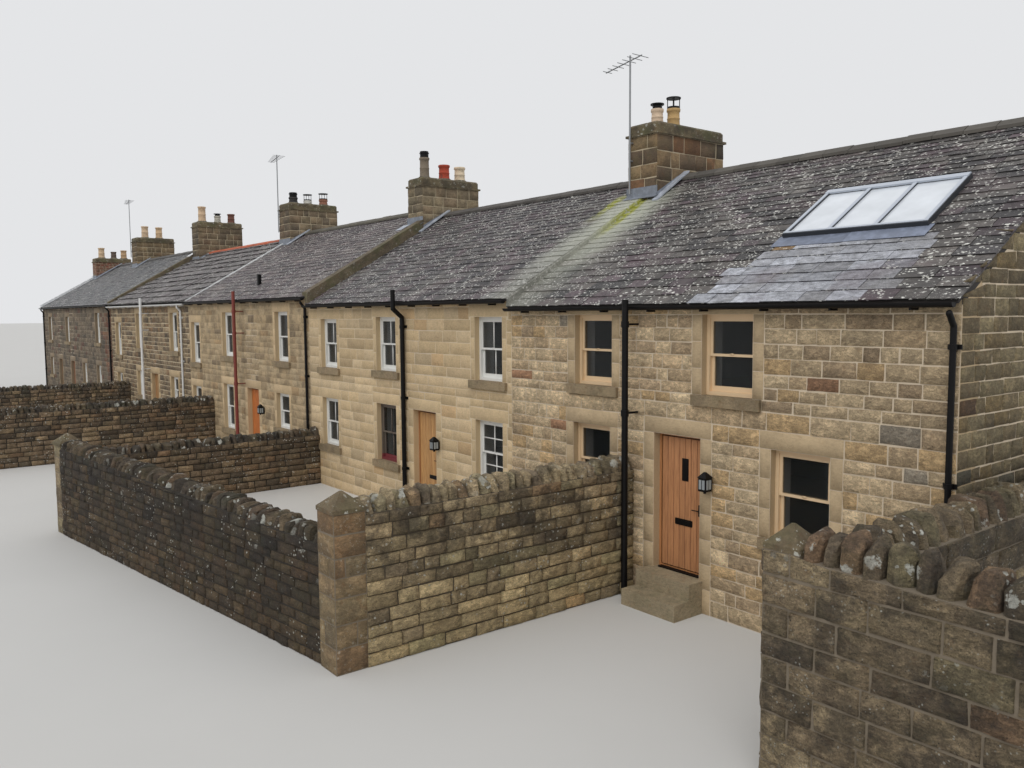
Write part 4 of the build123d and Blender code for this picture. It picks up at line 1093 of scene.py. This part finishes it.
def slate_roof(side):
    """Each slate is a thin tapered slab: its tail rests on the course below and its head on the roof."""
    heap = Heap()
    corner = np.array([(4, 5, 6, 7), (0, 3, 2, 1), (8, 9, 10, 11), (1, 2, 6, 5), (2, 3, 7, 6), (3, 0, 4, 7)])
    front_side = side == "front"
    for house in HOUSES:
        along = np.array([1.0, 0, 0]) if front_side else np.array([-1.0, 0, 0])
        slope = house.slope * (1, along[0], 1)
        origin = np.array([0, -EAVES_OUT if front_side else DEPTH + EAVES_OUT, house.eaves])
        out = np.cross(along, slope)
        left, right = sorted((house.roof_x0 * along[0], house.roof_x1 * along[0]))
        joint = JOINT_REACH if house.name in "ab" else 0
        left -= VERGE if house.name == ("e" if front_side else "a") else joint
        right += VERGE if house.name == ("a" if front_side else "e") else joint
        hole = None
        if front_side and house.name == "a":
            foot, head = ((y + EAVES_OUT) * house.slant / RUN for y in LIGHT_Y)
            hole = (LIGHT[0] + 0.04, LIGHT[3] - 0.04, foot + 0.05, head - 0.05)
        u0, u1, v0, v1, show = slate_table(house, left, right, hole)
        u0 = u0 + SLATE_GAP
        u1 = u1 - SLATE_GAP
        count = len(u0)
        body = SLATES[house.name][2]
        thick = body * rng.uniform(0.75, 1.35, (count, 1)) * [1, 1, 0.8, 0.8]
        tail = rng.normal(0, 0.001 if house.name == "d" else 0.006, (count, 2)).clip(-0.012, 0.012)
        lift = body * 1.05 + rng.uniform(0, 0.004, (count, 2))
        head = lift * (1 - (v1 - v0) / (show * SLATE_LAP))[:, None] * 0.6
        u = np.stack([u0, u1, u1, u0], -1)
        v = np.stack([v0 + tail[:, 0], v0 + tail[:, 1], v1, v1], -1)
        low = np.concatenate([lift, head[:, ::-1]], 1)
        sheets = [u[..., None] * along + v[..., None] * slope + level[..., None] * out + origin
                  for level in (low - [0, 0, 0.004, 0.004], low + thick)]
        corners = np.concatenate([*sheets, sheets[0][:, :2], sheets[1][:, 1::-1]], 1)
        tints = slate_tints(house, side, (u0 + u1) / 2, v0)
        # Painted shade: the four corners of each tail edge are darkened, for the shadow along the slate's
        # lower edge
        shade = np.array([1.0] * 8 + [TAIL_PAINTED_SHADE] * 4)[:, None]
        heap.add(corners, copied(corner, count, 12), (tints[:, None] * shade).reshape(-1, 3))
    if front_side:
        step_slip(heap, HOUSES[1].roof_x1 + 0.004, HOUSES[1], HOUSES[0], paint(128, 124, 120))
    heap.piece("slates_" + side, "slates_" + side, smooth=False)


def ridge_pieces():
    """Angular ridge pieces with a rounded crown, a joint of mortar between each two."""
    heap = Heap()
    clay = {"a": (88, 84, 78), "b": (84, 80, 76), "c": (92, 88, 78), "d": (176, 92, 62), "e": (92, 90, 88)}
    wing = np.array([-0.19, -0.1, -0.045, 0, 0.045, 0.1, 0.19])
    for x0, _, _, x1, _, _ in solid_boxes("ridge_tiles"):
        house = next(h for h in HOUSES if h.roof_x0 <= (x0 + x1) / 2 <= h.roof_x1)
        top = -np.abs(wing) * house.rise / RUN + 0.08 + SLATES[house.name][2]
        top[3] -= 0.008
        outline = np.stack([np.append(wing, wing[::-1]), np.append(top, top[::-1] - 0.05)], -1)
        edges = np.linspace(x0, x1, max(1, round((x1 - x0) / 0.45)) + 1)
        for a, b in zip(edges, edges[1:]):
            z = house.ridge + rng.normal(0, 0.003)
            tint = paint(*clay[house.name]) * rng.uniform(0.8, 1.2)
            bar(heap, (a + 0.004, RIDGE_Y, z), (b - 0.004, RIDGE_Y, z), outline, tint, (0, 1, 0))
    heap.piece("ridge_pieces", "fired_clay", smooth=False, replaces=["ridge_tiles"])


def lead_work():
    """Sheet lead round the stacks, the strip of a joint and the edge of the far verge."""
    heap = Heap()
    grey = paint(128, 134, 144)
    bright = paint(172, 178, 188)
    blue = paint(122, 130, 148)
    white = paint(236, 238, 240)

    def strip(x, size, y0, y1, house, lift, tint=grey, rise=0.0, before=0.0, after=0.0):
        """A bar on the front slope at a height above the roof; before and after make it longer."""
        bar(heap, (x, y0 - before, house.top(y0) + lift), (x, y1 + after, house.top(y1) + lift + rise), size,
            tint)

    for index, (x0, y0, _, x1, _, _) in enumerate(STACKS):
        under = [h for h in HOUSES if h.roof_x0 < x1 and h.roof_x1 > x0]
        tall = max(under, key=lambda h: h.top(y0))
        foot = tall.top(y0)
        plate(heap, x0 - 0.03, x1 + 0.03, y0 - 0.022, y0 - 0.014, foot - 0.03, foot + 0.2, grey)
        strip((x0 + x1) / 2, (x1 - x0 + 0.1, 0.006, 0.002), y0 - 0.11, y0 - 0.012, tall, 0.036)
        for x, side in ((x0, -1), (x1, 1)):
            house = min(under, key=lambda h: abs((h.x0 + h.x1) / 2 - x))
            house = next((h for h in under if h.x0 <= x + side * 0.08 <= h.x1), house)
            strip(x + side * 0.019, (0.01, 0.12, 0.002), y0, RIDGE_Y - 0.06, house, 0.06, before=0.02)
            if side > 0:
                strip(x + 0.09, (0.14, 0.03, 0.002), y0 - 0.16, RIDGE_Y + 0.02, house, 0.05, bright, 0.09)
        if index == 1:
            strip(x0 - 0.06, (0.32, 0.006, 0.002), y0 - 0.3, y0 - 0.02, tall, 0.04, bright)
    a, _, c, d, e = HOUSES
    strip(c.roof_x0 - 0.01, (0.1, 0.05, 0.006), -EAVES_OUT, STACKS[2][1], c, 0.03,
          paint(214, 216, 216), after=-0.02)
    middle = (LIGHT[0] + LIGHT[3]) / 2
    wide = (LIGHT[3] - LIGHT[0]) / 2 + 0.056
    for side, lift, tint in ((-1, 0.036, blue), (1, 0.04, blue * 1.12)):
        strip(middle + side * (wide / 2 + 0.004), (wide, 0.006, 0.002), LIGHT_Y[0] - 0.24,
              LIGHT_Y[0] + 0.02, a, lift, tint)
    strip(e.roof_x0 + 0.07, (0.18, 0.12, 0.004), -EAVES_OUT, RIDGE_Y, e, 0.09, white, before=0.01)
    tip = RIDGE_Y - 0.75
    low, high = (max(d.top(y), e.top(y)) for y in (tip, RIDGE_Y))
    x = d.roof_x0
    bar(heap, (x, tip, low + 0.13), (x, RIDGE_Y - 0.1, high + 0.1), (0.3, 0.04, 0.004), white)
    heap.piece("lead_work", "lead_sheet", smooth=False)


def rooflight_trim():
    """Silver strips along the frame and bars of the rooflight, and the deeper cover at its head."""
    heap = Heap()
    a = HOUSES[0]
    foot = np.array([0, LIGHT_Y[0], a.top(LIGHT_Y[0])]) + np.cross((1.0, 0, 0), a.slope) * (LIGHT_UP + 0.004)
    length = (LIGHT_Y[1] - LIGHT_Y[0]) * a.slant / RUN
    x0 = LIGHT[0]
    x1 = LIGHT[3]
    silver = paint(190, 197, 208)
    pane = (x1 - x0 - 2 * LIGHT_FACE - 2 * LIGHT_BAR) / 3
    for k, nudge in enumerate((-0.01, 0, 0, 0.01)):
        line = foot + (x0 + LIGHT_FACE + k * (pane + LIGHT_BAR) - LIGHT_BAR / 2 + nudge, 0, 0)
        bar(heap, line + a.slope * 0.02, line + a.slope * (length - 0.02), (0.054, 0.012, 0.003), silver)
    for at, wide, thick in ((0.04, 0.04, 0.01), (length - 0.045, 0.1, 0.03)):
        middle = foot + a.slope * at
        bar(heap, middle + (x0 + 0.01, 0, 0), middle + (x1 - 0.01, 0, 0), (wide, thick, 0.003), silver,
            a.slope)
    heap.piece("rooflight_trim", "silver_strip", smooth=False)


CLAYS = [(214, 190, 164), (190, 158, 108), (128, 116, 100), (176, 74, 52), (222, 204, 176), (52, 50, 50),
         (216, 214, 206), (150, 104, 84), (206, 178, 146), (186, 182, 170), (112, 74, 62), (206, 180, 150),
         (206, 176, 140), (204, 178, 146), (104, 90, 80), (190, 158, 122)]


def chimney_pots():
    """Lathe-turned pots with a foot, a waist band and a rolled rim, each of its own clay, on mortar cones."""
    heap = Heap()
    bases = Heap()
    pots = sorted(solid_boxes("chimney_pots"), key=lambda b: (-round((b[0] + b[3]) / 3), b[1]))
    for index, (x0, y0, z0, x1, y1, z1) in enumerate(pots):
        radius = (x1 - x0) / 2 / 1.12
        tall = z1 - z0
        outer = [(1.12, 0), (1.12, 0.05), (1.04, 0.075), (1.0, 0.1), (0.97, tall * 0.45), (1.02, tall * 0.47),
                 (1.02, tall * 0.52), (0.96, tall * 0.54), (0.94, tall - 0.075), (1.05, tall - 0.06),
                 (1.09, tall - 0.045), (1.09, tall - 0.012), (1.04, tall), (0.84, tall), (0.78, tall - 0.03),
                 (0.78, 0)]
        cone = [(1.55, -0.004), (1.5, 0.012), (1.28, 0.045), (1.14, 0.06), (1.0, 0.05), (1.0, -0.004)]
        clay = CLAYS[index % len(CLAYS)]
        for into, profile, colour in ((heap, outer, clay), (bases, cone, (128, 120, 104))):
            turned = [(r * radius, z) for r, z in profile]
            lathe(into, ((x0 + x1) / 2, (y0 + y1) / 2, z0), turned, paint(*colour))
    heap.piece("turned_pots", "fired_clay", replaces=["chimney_pots"])
    bases.piece("pot_mortar", "garden_stone")


def window_trim():
    """Glazing bars, horns under the upper sash and a fastener on the meeting rail."""
    cream = Heap()
    white = Heap()
    horn = np.array([(-0.02, 0), (-0.02, -0.03), (-0.008, -0.055), (0.008, -0.055), (0.02, -0.03), (0.02, 0)])
    for house in HOUSES:
        heap = cream if house.name == "a" else white
        tint = paint(222, 196, 160) if house.name == "a" else paint(232, 232, 228)
        for x0, x1, z0, z1 in house.windows:
            low = z0 + 0.08
            high = z1 - 0.05
            middle = (low + high) / 2
            xm = (x0 + x1) / 2
            for x in (x0 + 0.073, x1 - 0.073):
                bar(heap, (x, 0.127, middle - 0.018), (x, 0.16, middle - 0.018), horn, tint)
            plate(heap, xm - 0.03, xm + 0.03, 0.118, 0.126, middle + 0.002, middle + 0.026, tint)
            if house.name != "b":
                continue
            sashes = ((middle + 0.018, high - 0.045, 0.145), (low + 0.075, middle - 0.018, 0.185))
            for foot, head, y in sashes:
                bar(heap, (xm, y, foot), (xm, y, head), (0.024, 0.03, 0.008), tint)
            if x1 > house.x1 - 1.3 and z0 < 2:
                for foot, head, y in sashes:
                    z = (foot + head) / 2
                    bar(heap, (x0 + 0.095, y, z), (x1 - 0.095, y, z), (0.03, 0.024, 0.008), tint, (0, 1, 0))
    cream.piece("window_trim_a", "cream_paint")
    white.piece("window_trim", "white_paint")


DOOR_COLOURS = {"a": (186, 132, 90), "b": (196, 150, 96), "c": (190, 110, 52), "d": (158, 122, 80),
                "e1": (112, 56, 44), "e2": (60, 72, 56)}


def doors():
    """Seven upright boards with cut arrises on each leaf, and its metalwork."""
    black = paint(26, 26, 28)
    turn = np.linspace(0, 2 * math.pi, 8, False)
    ring = np.stack([np.cos(turn), np.sin(turn)], -1)
    for key, colour in DOOR_COLOURS.items():
        box = real_box("door_" + key)
        x1 = box[3]
        x0 = x1 - LEAF_W
        z0 = box[2] + 0.004
        body = "door_leaf_" + key
        boards = Heap()
        metal = Heap()
        edges = np.linspace(x0 + 0.003, x1 - 0.003, 8)
        y = box[1] - 0.002
        for a, b in zip(edges, edges[1:]):
            x = (a + b) / 2
            tint = paint(*colour) * rng.uniform(0.9, 1.1)
            bar(boards, (x, y, z0), (x, y, box[5] - 0.004), (b - a - 0.007, 0.02, 0.008), tint)
        boards.piece("boards_" + key, "door_boards", body=body, smooth=False)
        y = box[1] - 0.009
        middle = (x0 + x1) / 2
        # Fittings by their reach left and right of the middle, forwards, back, and up from the leaf's foot
        fittings = [(-0.02, 0.24, 0.01, 0.003, 0.5, 0.58, black, 0.01)]
        if key == "a":
            fittings = [(0, 0.12, 0.006, 0.004, 1.29, 1.62, paint(198, 142, 96), 0.004),
                        (0.012, 0.108, 0.009, 0.002, 1.305, 1.605, black, 0.002),
                        (-0.12, 0.2, 0.01, 0.003, 0.635, 0.73, black, 0.01),
                        (-0.09, 0.17, 0.016, -0.008, 0.655, 0.71, black, 0.008)]
        for left, right, out, into, low, high, tint, cut in fittings:
            plate(metal, middle + left, middle + right, y - out, y + into, z0 + low, z0 + high, tint, cut)
        grip = z0 + 0.9
        plate(metal, x1 - 0.075, x1 - 0.035, y - 0.008, y + 0.003, grip - 0.085, grip + 0.085, black, 0.008)
        bar(metal, (x1 - 0.055, y + 0.002, grip), (x1 - 0.055, y - 0.05, grip), ring * 0.009, black)
        y = y - 0.044
        bar(metal, (x1 - 0.047, y, grip), (x1 - 0.165, y, grip), ring * 0.008, black, (0, 1, 0))
        metal.piece("door_metal_" + key, "black_metal", body=body, smooth=False)


def thresholds():
    """A dark weather bar on each doorstep, in front of the leaf."""
    heap = Heap()
    steps = solid_boxes("doorsteps")
    for key in DOOR_COLOURS:
        box = real_box("door_" + key)
        middle = box[3] - LEAF_W / 2
        half = LEAF_W / 2 - 0.005
        top = next(b[5] for b in steps if b[0] < middle < b[3])
        plate(heap, middle - half, middle + half, box[1] - 0.1, box[1] - 0.022, top - 0.001, top + 0.02,
              paint(40, 40, 42))
    heap.piece("thresholds", "black_metal", smooth=False)


def lantern_panes():
    """Four pale panes between the dark posts of each lantern."""
    heap = Heap()
    pale = paint(150, 156, 158)
    y = -0.115
    for x0, _, z0, x1, _, _ in solid_boxes("lanterns"):
        x = (x0 + x1) / 2
        low = z0 + 0.065
        z = low + 0.065
        for side in (-1, 1):
            for along in (-0.028, 0.028):
                plate(heap, x + along - 0.021, x + along + 0.021, y + side * 0.0675 - 0.002,
                      y + side * 0.0675 + 0.002, low, low + 0.13, pale, 0.001)
                bar(heap, (x + side * 0.0655, y + along, z), (x + side * 0.0695, y + along, z),
                    (0.042, 0.13, 0.001), pale, (0, 1, 0))
    heap.piece("lantern_panes", "lantern_glass", smooth=False)


STONES = {
    "dressed_stone": dict(tooling=0.002, iron=0.12, texture=0.45, soot=0.08),
    "sill_stone": dict(tooling=0.003, base=(150, 132, 104), soot=0.3, moss=0.15),
    "step_stone": dict(tooling=0.004, base=(156, 142, 116), soot=0.1, moss=0.2),
    "coping_stone": dict(tooling=0.012, base=(116, 104, 84), soot=0.4, moss=0.5, lichen=0.3),
    "cap_stone": dict(tooling=0.008, base=(116, 104, 80), soot=0.6, moss=0.5, lichen=0.5),
    "pier_cap_stone": dict(tooling=0.01, base=(116, 102, 78), soot=0.35, moss=0.3, lichen=0.8),
    "stack_stone": dict(tooling=0.008, soot=0.4, moss=0.15),
    "garden_stone": dict(tooling=0.016, soot=0.55, moss=0.12, lichen=0.8, blot=0.075, iron=0.12, texture=1.5,
                         riven=0.04, rare=0.16, high=(0.5, 1.6)),
    "near_stone": dict(tooling=0.02, soot=0.62, moss=0.12, lichen=0.5, iron=0.2, texture=1.8, riven=0.05,
                       rare=0.16),
    "quoin_stone": dict(tooling=0.012, soot=0.3, moss=0.1, lichen=0.3, iron=0.4, blot=0.03, riven=0.01),
    "cope_stone": dict(tooling=0.02, soot=0.55, moss=0.2, lichen=0.95, blot=0.1, spread=0.06, texture=1.6,
                       riven=0.05, iron=0.1),
    "cope_mortar": dict(tooling=0.008, texture=0.9, moss=0.2),
}
BEDS = {"gable_bed": "a", "gable_bed_left": "e", "garden_bed": "garden", "path_bed": "path",
        "near_bed": "near", "stack_bed": "stack"}
PLAIN = {
    "plaster": dict(colour=(198, 194, 184), roughness=0.85, grain=0.02, depth=0.001),
    "silver_strip": dict(colour=(186, 193, 204), roughness=0.35),
    "roof_boards": dict(colour=(52, 48, 46), roughness=0.8),
    "cream_paint": dict(colour=(224, 196, 158), roughness=0.45),
    "white_plastic": dict(colour=(216, 216, 214), roughness=0.35),
    "black_metal": dict(colour=(14, 13, 14), roughness=0.4, stain=(28, 24, 23), Specular_IOR_Level=0.2),
    "red_metal": dict(colour=(122, 54, 44), roughness=0.5, stain=(92, 42, 38)),
    "rooflight_metal": dict(colour=(50, 53, 58), roughness=0.4),
    "aerial_metal": dict(colour=(150, 152, 154), roughness=0.45, Metallic=0.6),
}


def build_materials():
    made = {}

    def add(name, finish, *values, **named):
        made[name] = finish(Finish(bpy.data.materials.new(name)), *values, **named)

    for house in HOUSES:
        key = house.name
        worn = key in "ade"
        add("stone_" + key, stone_finish, 0.004 if key == "b" else 0.014, soot=FRONT_SOOT[key], iron=0.22,
            texture=1.15 if worn else 0.6, riven=0.014 if worn else 0.0)
        add("wall_bed_" + key, bed_finish, STYLES[key], front=True)
    for name, key in BEDS.items():
        add(name, bed_finish, STYLES[key])
    for name, values in STONES.items():
        add(name, stone_finish, **values)
    for name, values in PLAIN.items():
        add(name, plain_finish, **values)
    add("slates_front", slate_finish, streaks=True)
    add("slates_back", slate_finish, streaks=False)
    add("fired_clay", clay_finish)
    add("lead_sheet", lead_finish)
    add("white_paint", window_paint)
    add("oak_frame", wood_finish, (184, 128, 82), (120, 74, 42))
    add("door_core", wood_finish, (104, 70, 44), (74, 48, 30))
    add("door_boards", wood_finish, None, (112, 68, 40))
    # Painted shade: the dark colour over a third of each pane stands for the shade of the rooms behind the
    # windows
    add("window_glass", glass_finish, (40, 44, 46), 0.32)
    # Painted reflection: the rooflight's glass is near white, bluish and nearly opaque, for the bright sky
    # that it reflects
    add("rooflight_glass", glass_finish, (226, 231, 237), 0.95)
    add("lantern_glass", glass_finish, (150, 156, 158), 1.0)
    add("floorboards", board_finish, (128, 98, 70))
    return made


# CAD nodes that stay in sight, by the finish that they get; fronts and doors are added below
CARRIED = {
    "wall_bed_a": "walls_over_doors", "wall_bed_c": "back_walls", "plaster": "party_walls ground_floors",
    "gable_bed": "gable_wall_right", "gable_bed_left": "gable_wall_left", "floorboards": "upper_floors",
    "roof_boards": "roof_front roof_back", "coping_stone": "roof_copings", "stack_bed": "chimney_stacks",
    "cap_stone": "chimney_caps", "cream_paint": "window_frames_a upper_sashes_a lower_sashes_a",
    "white_paint": "window_frames upper_sashes lower_sashes back_window_frames",
    "window_glass": "window_glass back_window_glass", "rooflight_glass": "rooflight_glass",
    "sill_stone": "window_sills", "oak_frame": "door_frames", "step_stone": "doorsteps",
    "rooflight_metal": "rooflight_frame",
    "black_metal": "chimney_cowls gutters downpipes_black vent_pipe lanterns", "red_metal": "downpipe_red",
    "white_plastic": "gutter_white downpipe_white", "aerial_metal": "aerials", "garden_bed": "garden_wall_ab",
    "path_bed": "path_wall garden_walls_far", "near_bed": "near_wall side_wall garden_piers",
    "pier_cap_stone": "pier_caps", "door_core": " ".join("door_" + key for key in DOOR_COLOURS),
}


def dress_solids():
    """Puts the finishes on the CAD solids that stay in sight."""
    pairs = [(key, node) for key, nodes in CARRIED.items() for node in nodes.split()]
    pairs += [("wall_bed_" + house.name, "front_wall_" + house.name) for house in HOUSES]
    for key, node in pairs:
        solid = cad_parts[node]
        if not solid.material_slots:
            solid.data.materials.append(MATERIALS[key])
        for spot in solid.material_slots:
            spot.material = MATERIALS[key]


def floor_and_light():
    """A pale floor, an even pale sky that the camera sees as near white, and one broad weak lamp."""
    f = Finish(bpy.data.materials.new("floor"))
    f.done(f.shade((206, 205, 202), 0.96 + f.noise(2.0) * 0.06), 0.9)
    mesh = bpy.data.meshes.new("floor")
    reach = 300.0
    corners = [(-reach, -reach, 0), (reach, -reach, 0), (reach, reach, 0), (-reach, reach, 0)]
    mesh.from_pydata(corners, [], [(0, 1, 2, 3)])
    mesh.materials.append(f.owner)
    floor = bpy.data.objects.new("floor", mesh)
    world = bpy.data.worlds.new("sky")
    bpy.context.scene.world = world
    f = Finish(world)
    seen = f.node("LightPath", {}, {}, "Is Camera Ray").most(f.node("LightPath", {}, {}, "Is Glossy Ray"))
    strength = seen * (SKY_SEEN - SKY_LIGHT) + SKY_LIGHT
    sky = f.node("Background", {}, {"Color": SKY_COLOUR, "Strength": strength})
    f.node("OutputWorld", {}, {"Surface": sky})
    lamp = bpy.data.lights.new("broad_lamp", "SUN")
    lamp.energy = LAMP
    lamp.angle = math.radians(50)
    lamp.color = (1.0, 0.985, 0.96)
    held = bpy.data.objects.new("broad_lamp", lamp)
    held.rotation_euler = (math.radians(42), 0, math.radians(30))
    for made in (floor, held):
        bpy.context.scene.collection.objects.link(made)


def camera():
    """The view looks along a line turned left of the row's depth and a little down, with a slight roll."""
    lens = bpy.data.cameras.new("camera")
    lens.lens = LENS
    lens.sensor_width = 36
    lens.clip_end = 500
    made = bpy.data.objects.new("camera", lens)
    made.matrix_world = Matrix.Translation(np.array(EYE) * SCALE)
    for angle, axis in ((YAW, "Z"), (90 - DOWN, "X"), (ROLL, "Z")):
        made.matrix_world = made.matrix_world @ Matrix.Rotation(math.radians(angle), 4, axis)
    bpy.context.scene.collection.objects.link(made)
    bpy.context.scene.camera = made


MATERIALS = build_materials()
smooth_stones = Heap()
for house in HOUSES:
    front(house)
gables()
back()
smooth_stones.piece("dressed_stones", "dressed_stone")
stack_stones()
garden_stones("garden_stones_ab", [GARDEN_AB], (1.95, 1.92, 1.7), (1.42, 1.38, 1.36), cells=(7, 6))
garden_stones("path_wall_stones", [PATH_WALL], (0.94, 0.85, 0.7), (0.82, 0.75, 0.65))
garden_stones("far_wall_stones", FAR_WALLS, (2.6, 2.45, 2.25), (2.6, 2.45, 2.25))
garden_stones("near_wall_stones", [NEAR_WALL, SIDE_WALL], (1.1, 1.12, 1.05), (0.92, 0.92, 0.92), "near_stone",
              cells=(8, 6))
pier_stones()
cope_stones()
mortar_beds()
slate_roof("front")
slate_roof("back")
ridge_pieces()
lead_work()
rooflight_trim()
chimney_pots()
window_trim()
doors()
thresholds()
lantern_panes()
dress_solids()
floor_and_light()
camera()

bpy.context.scene.view_settings.view_transform = "Standard"
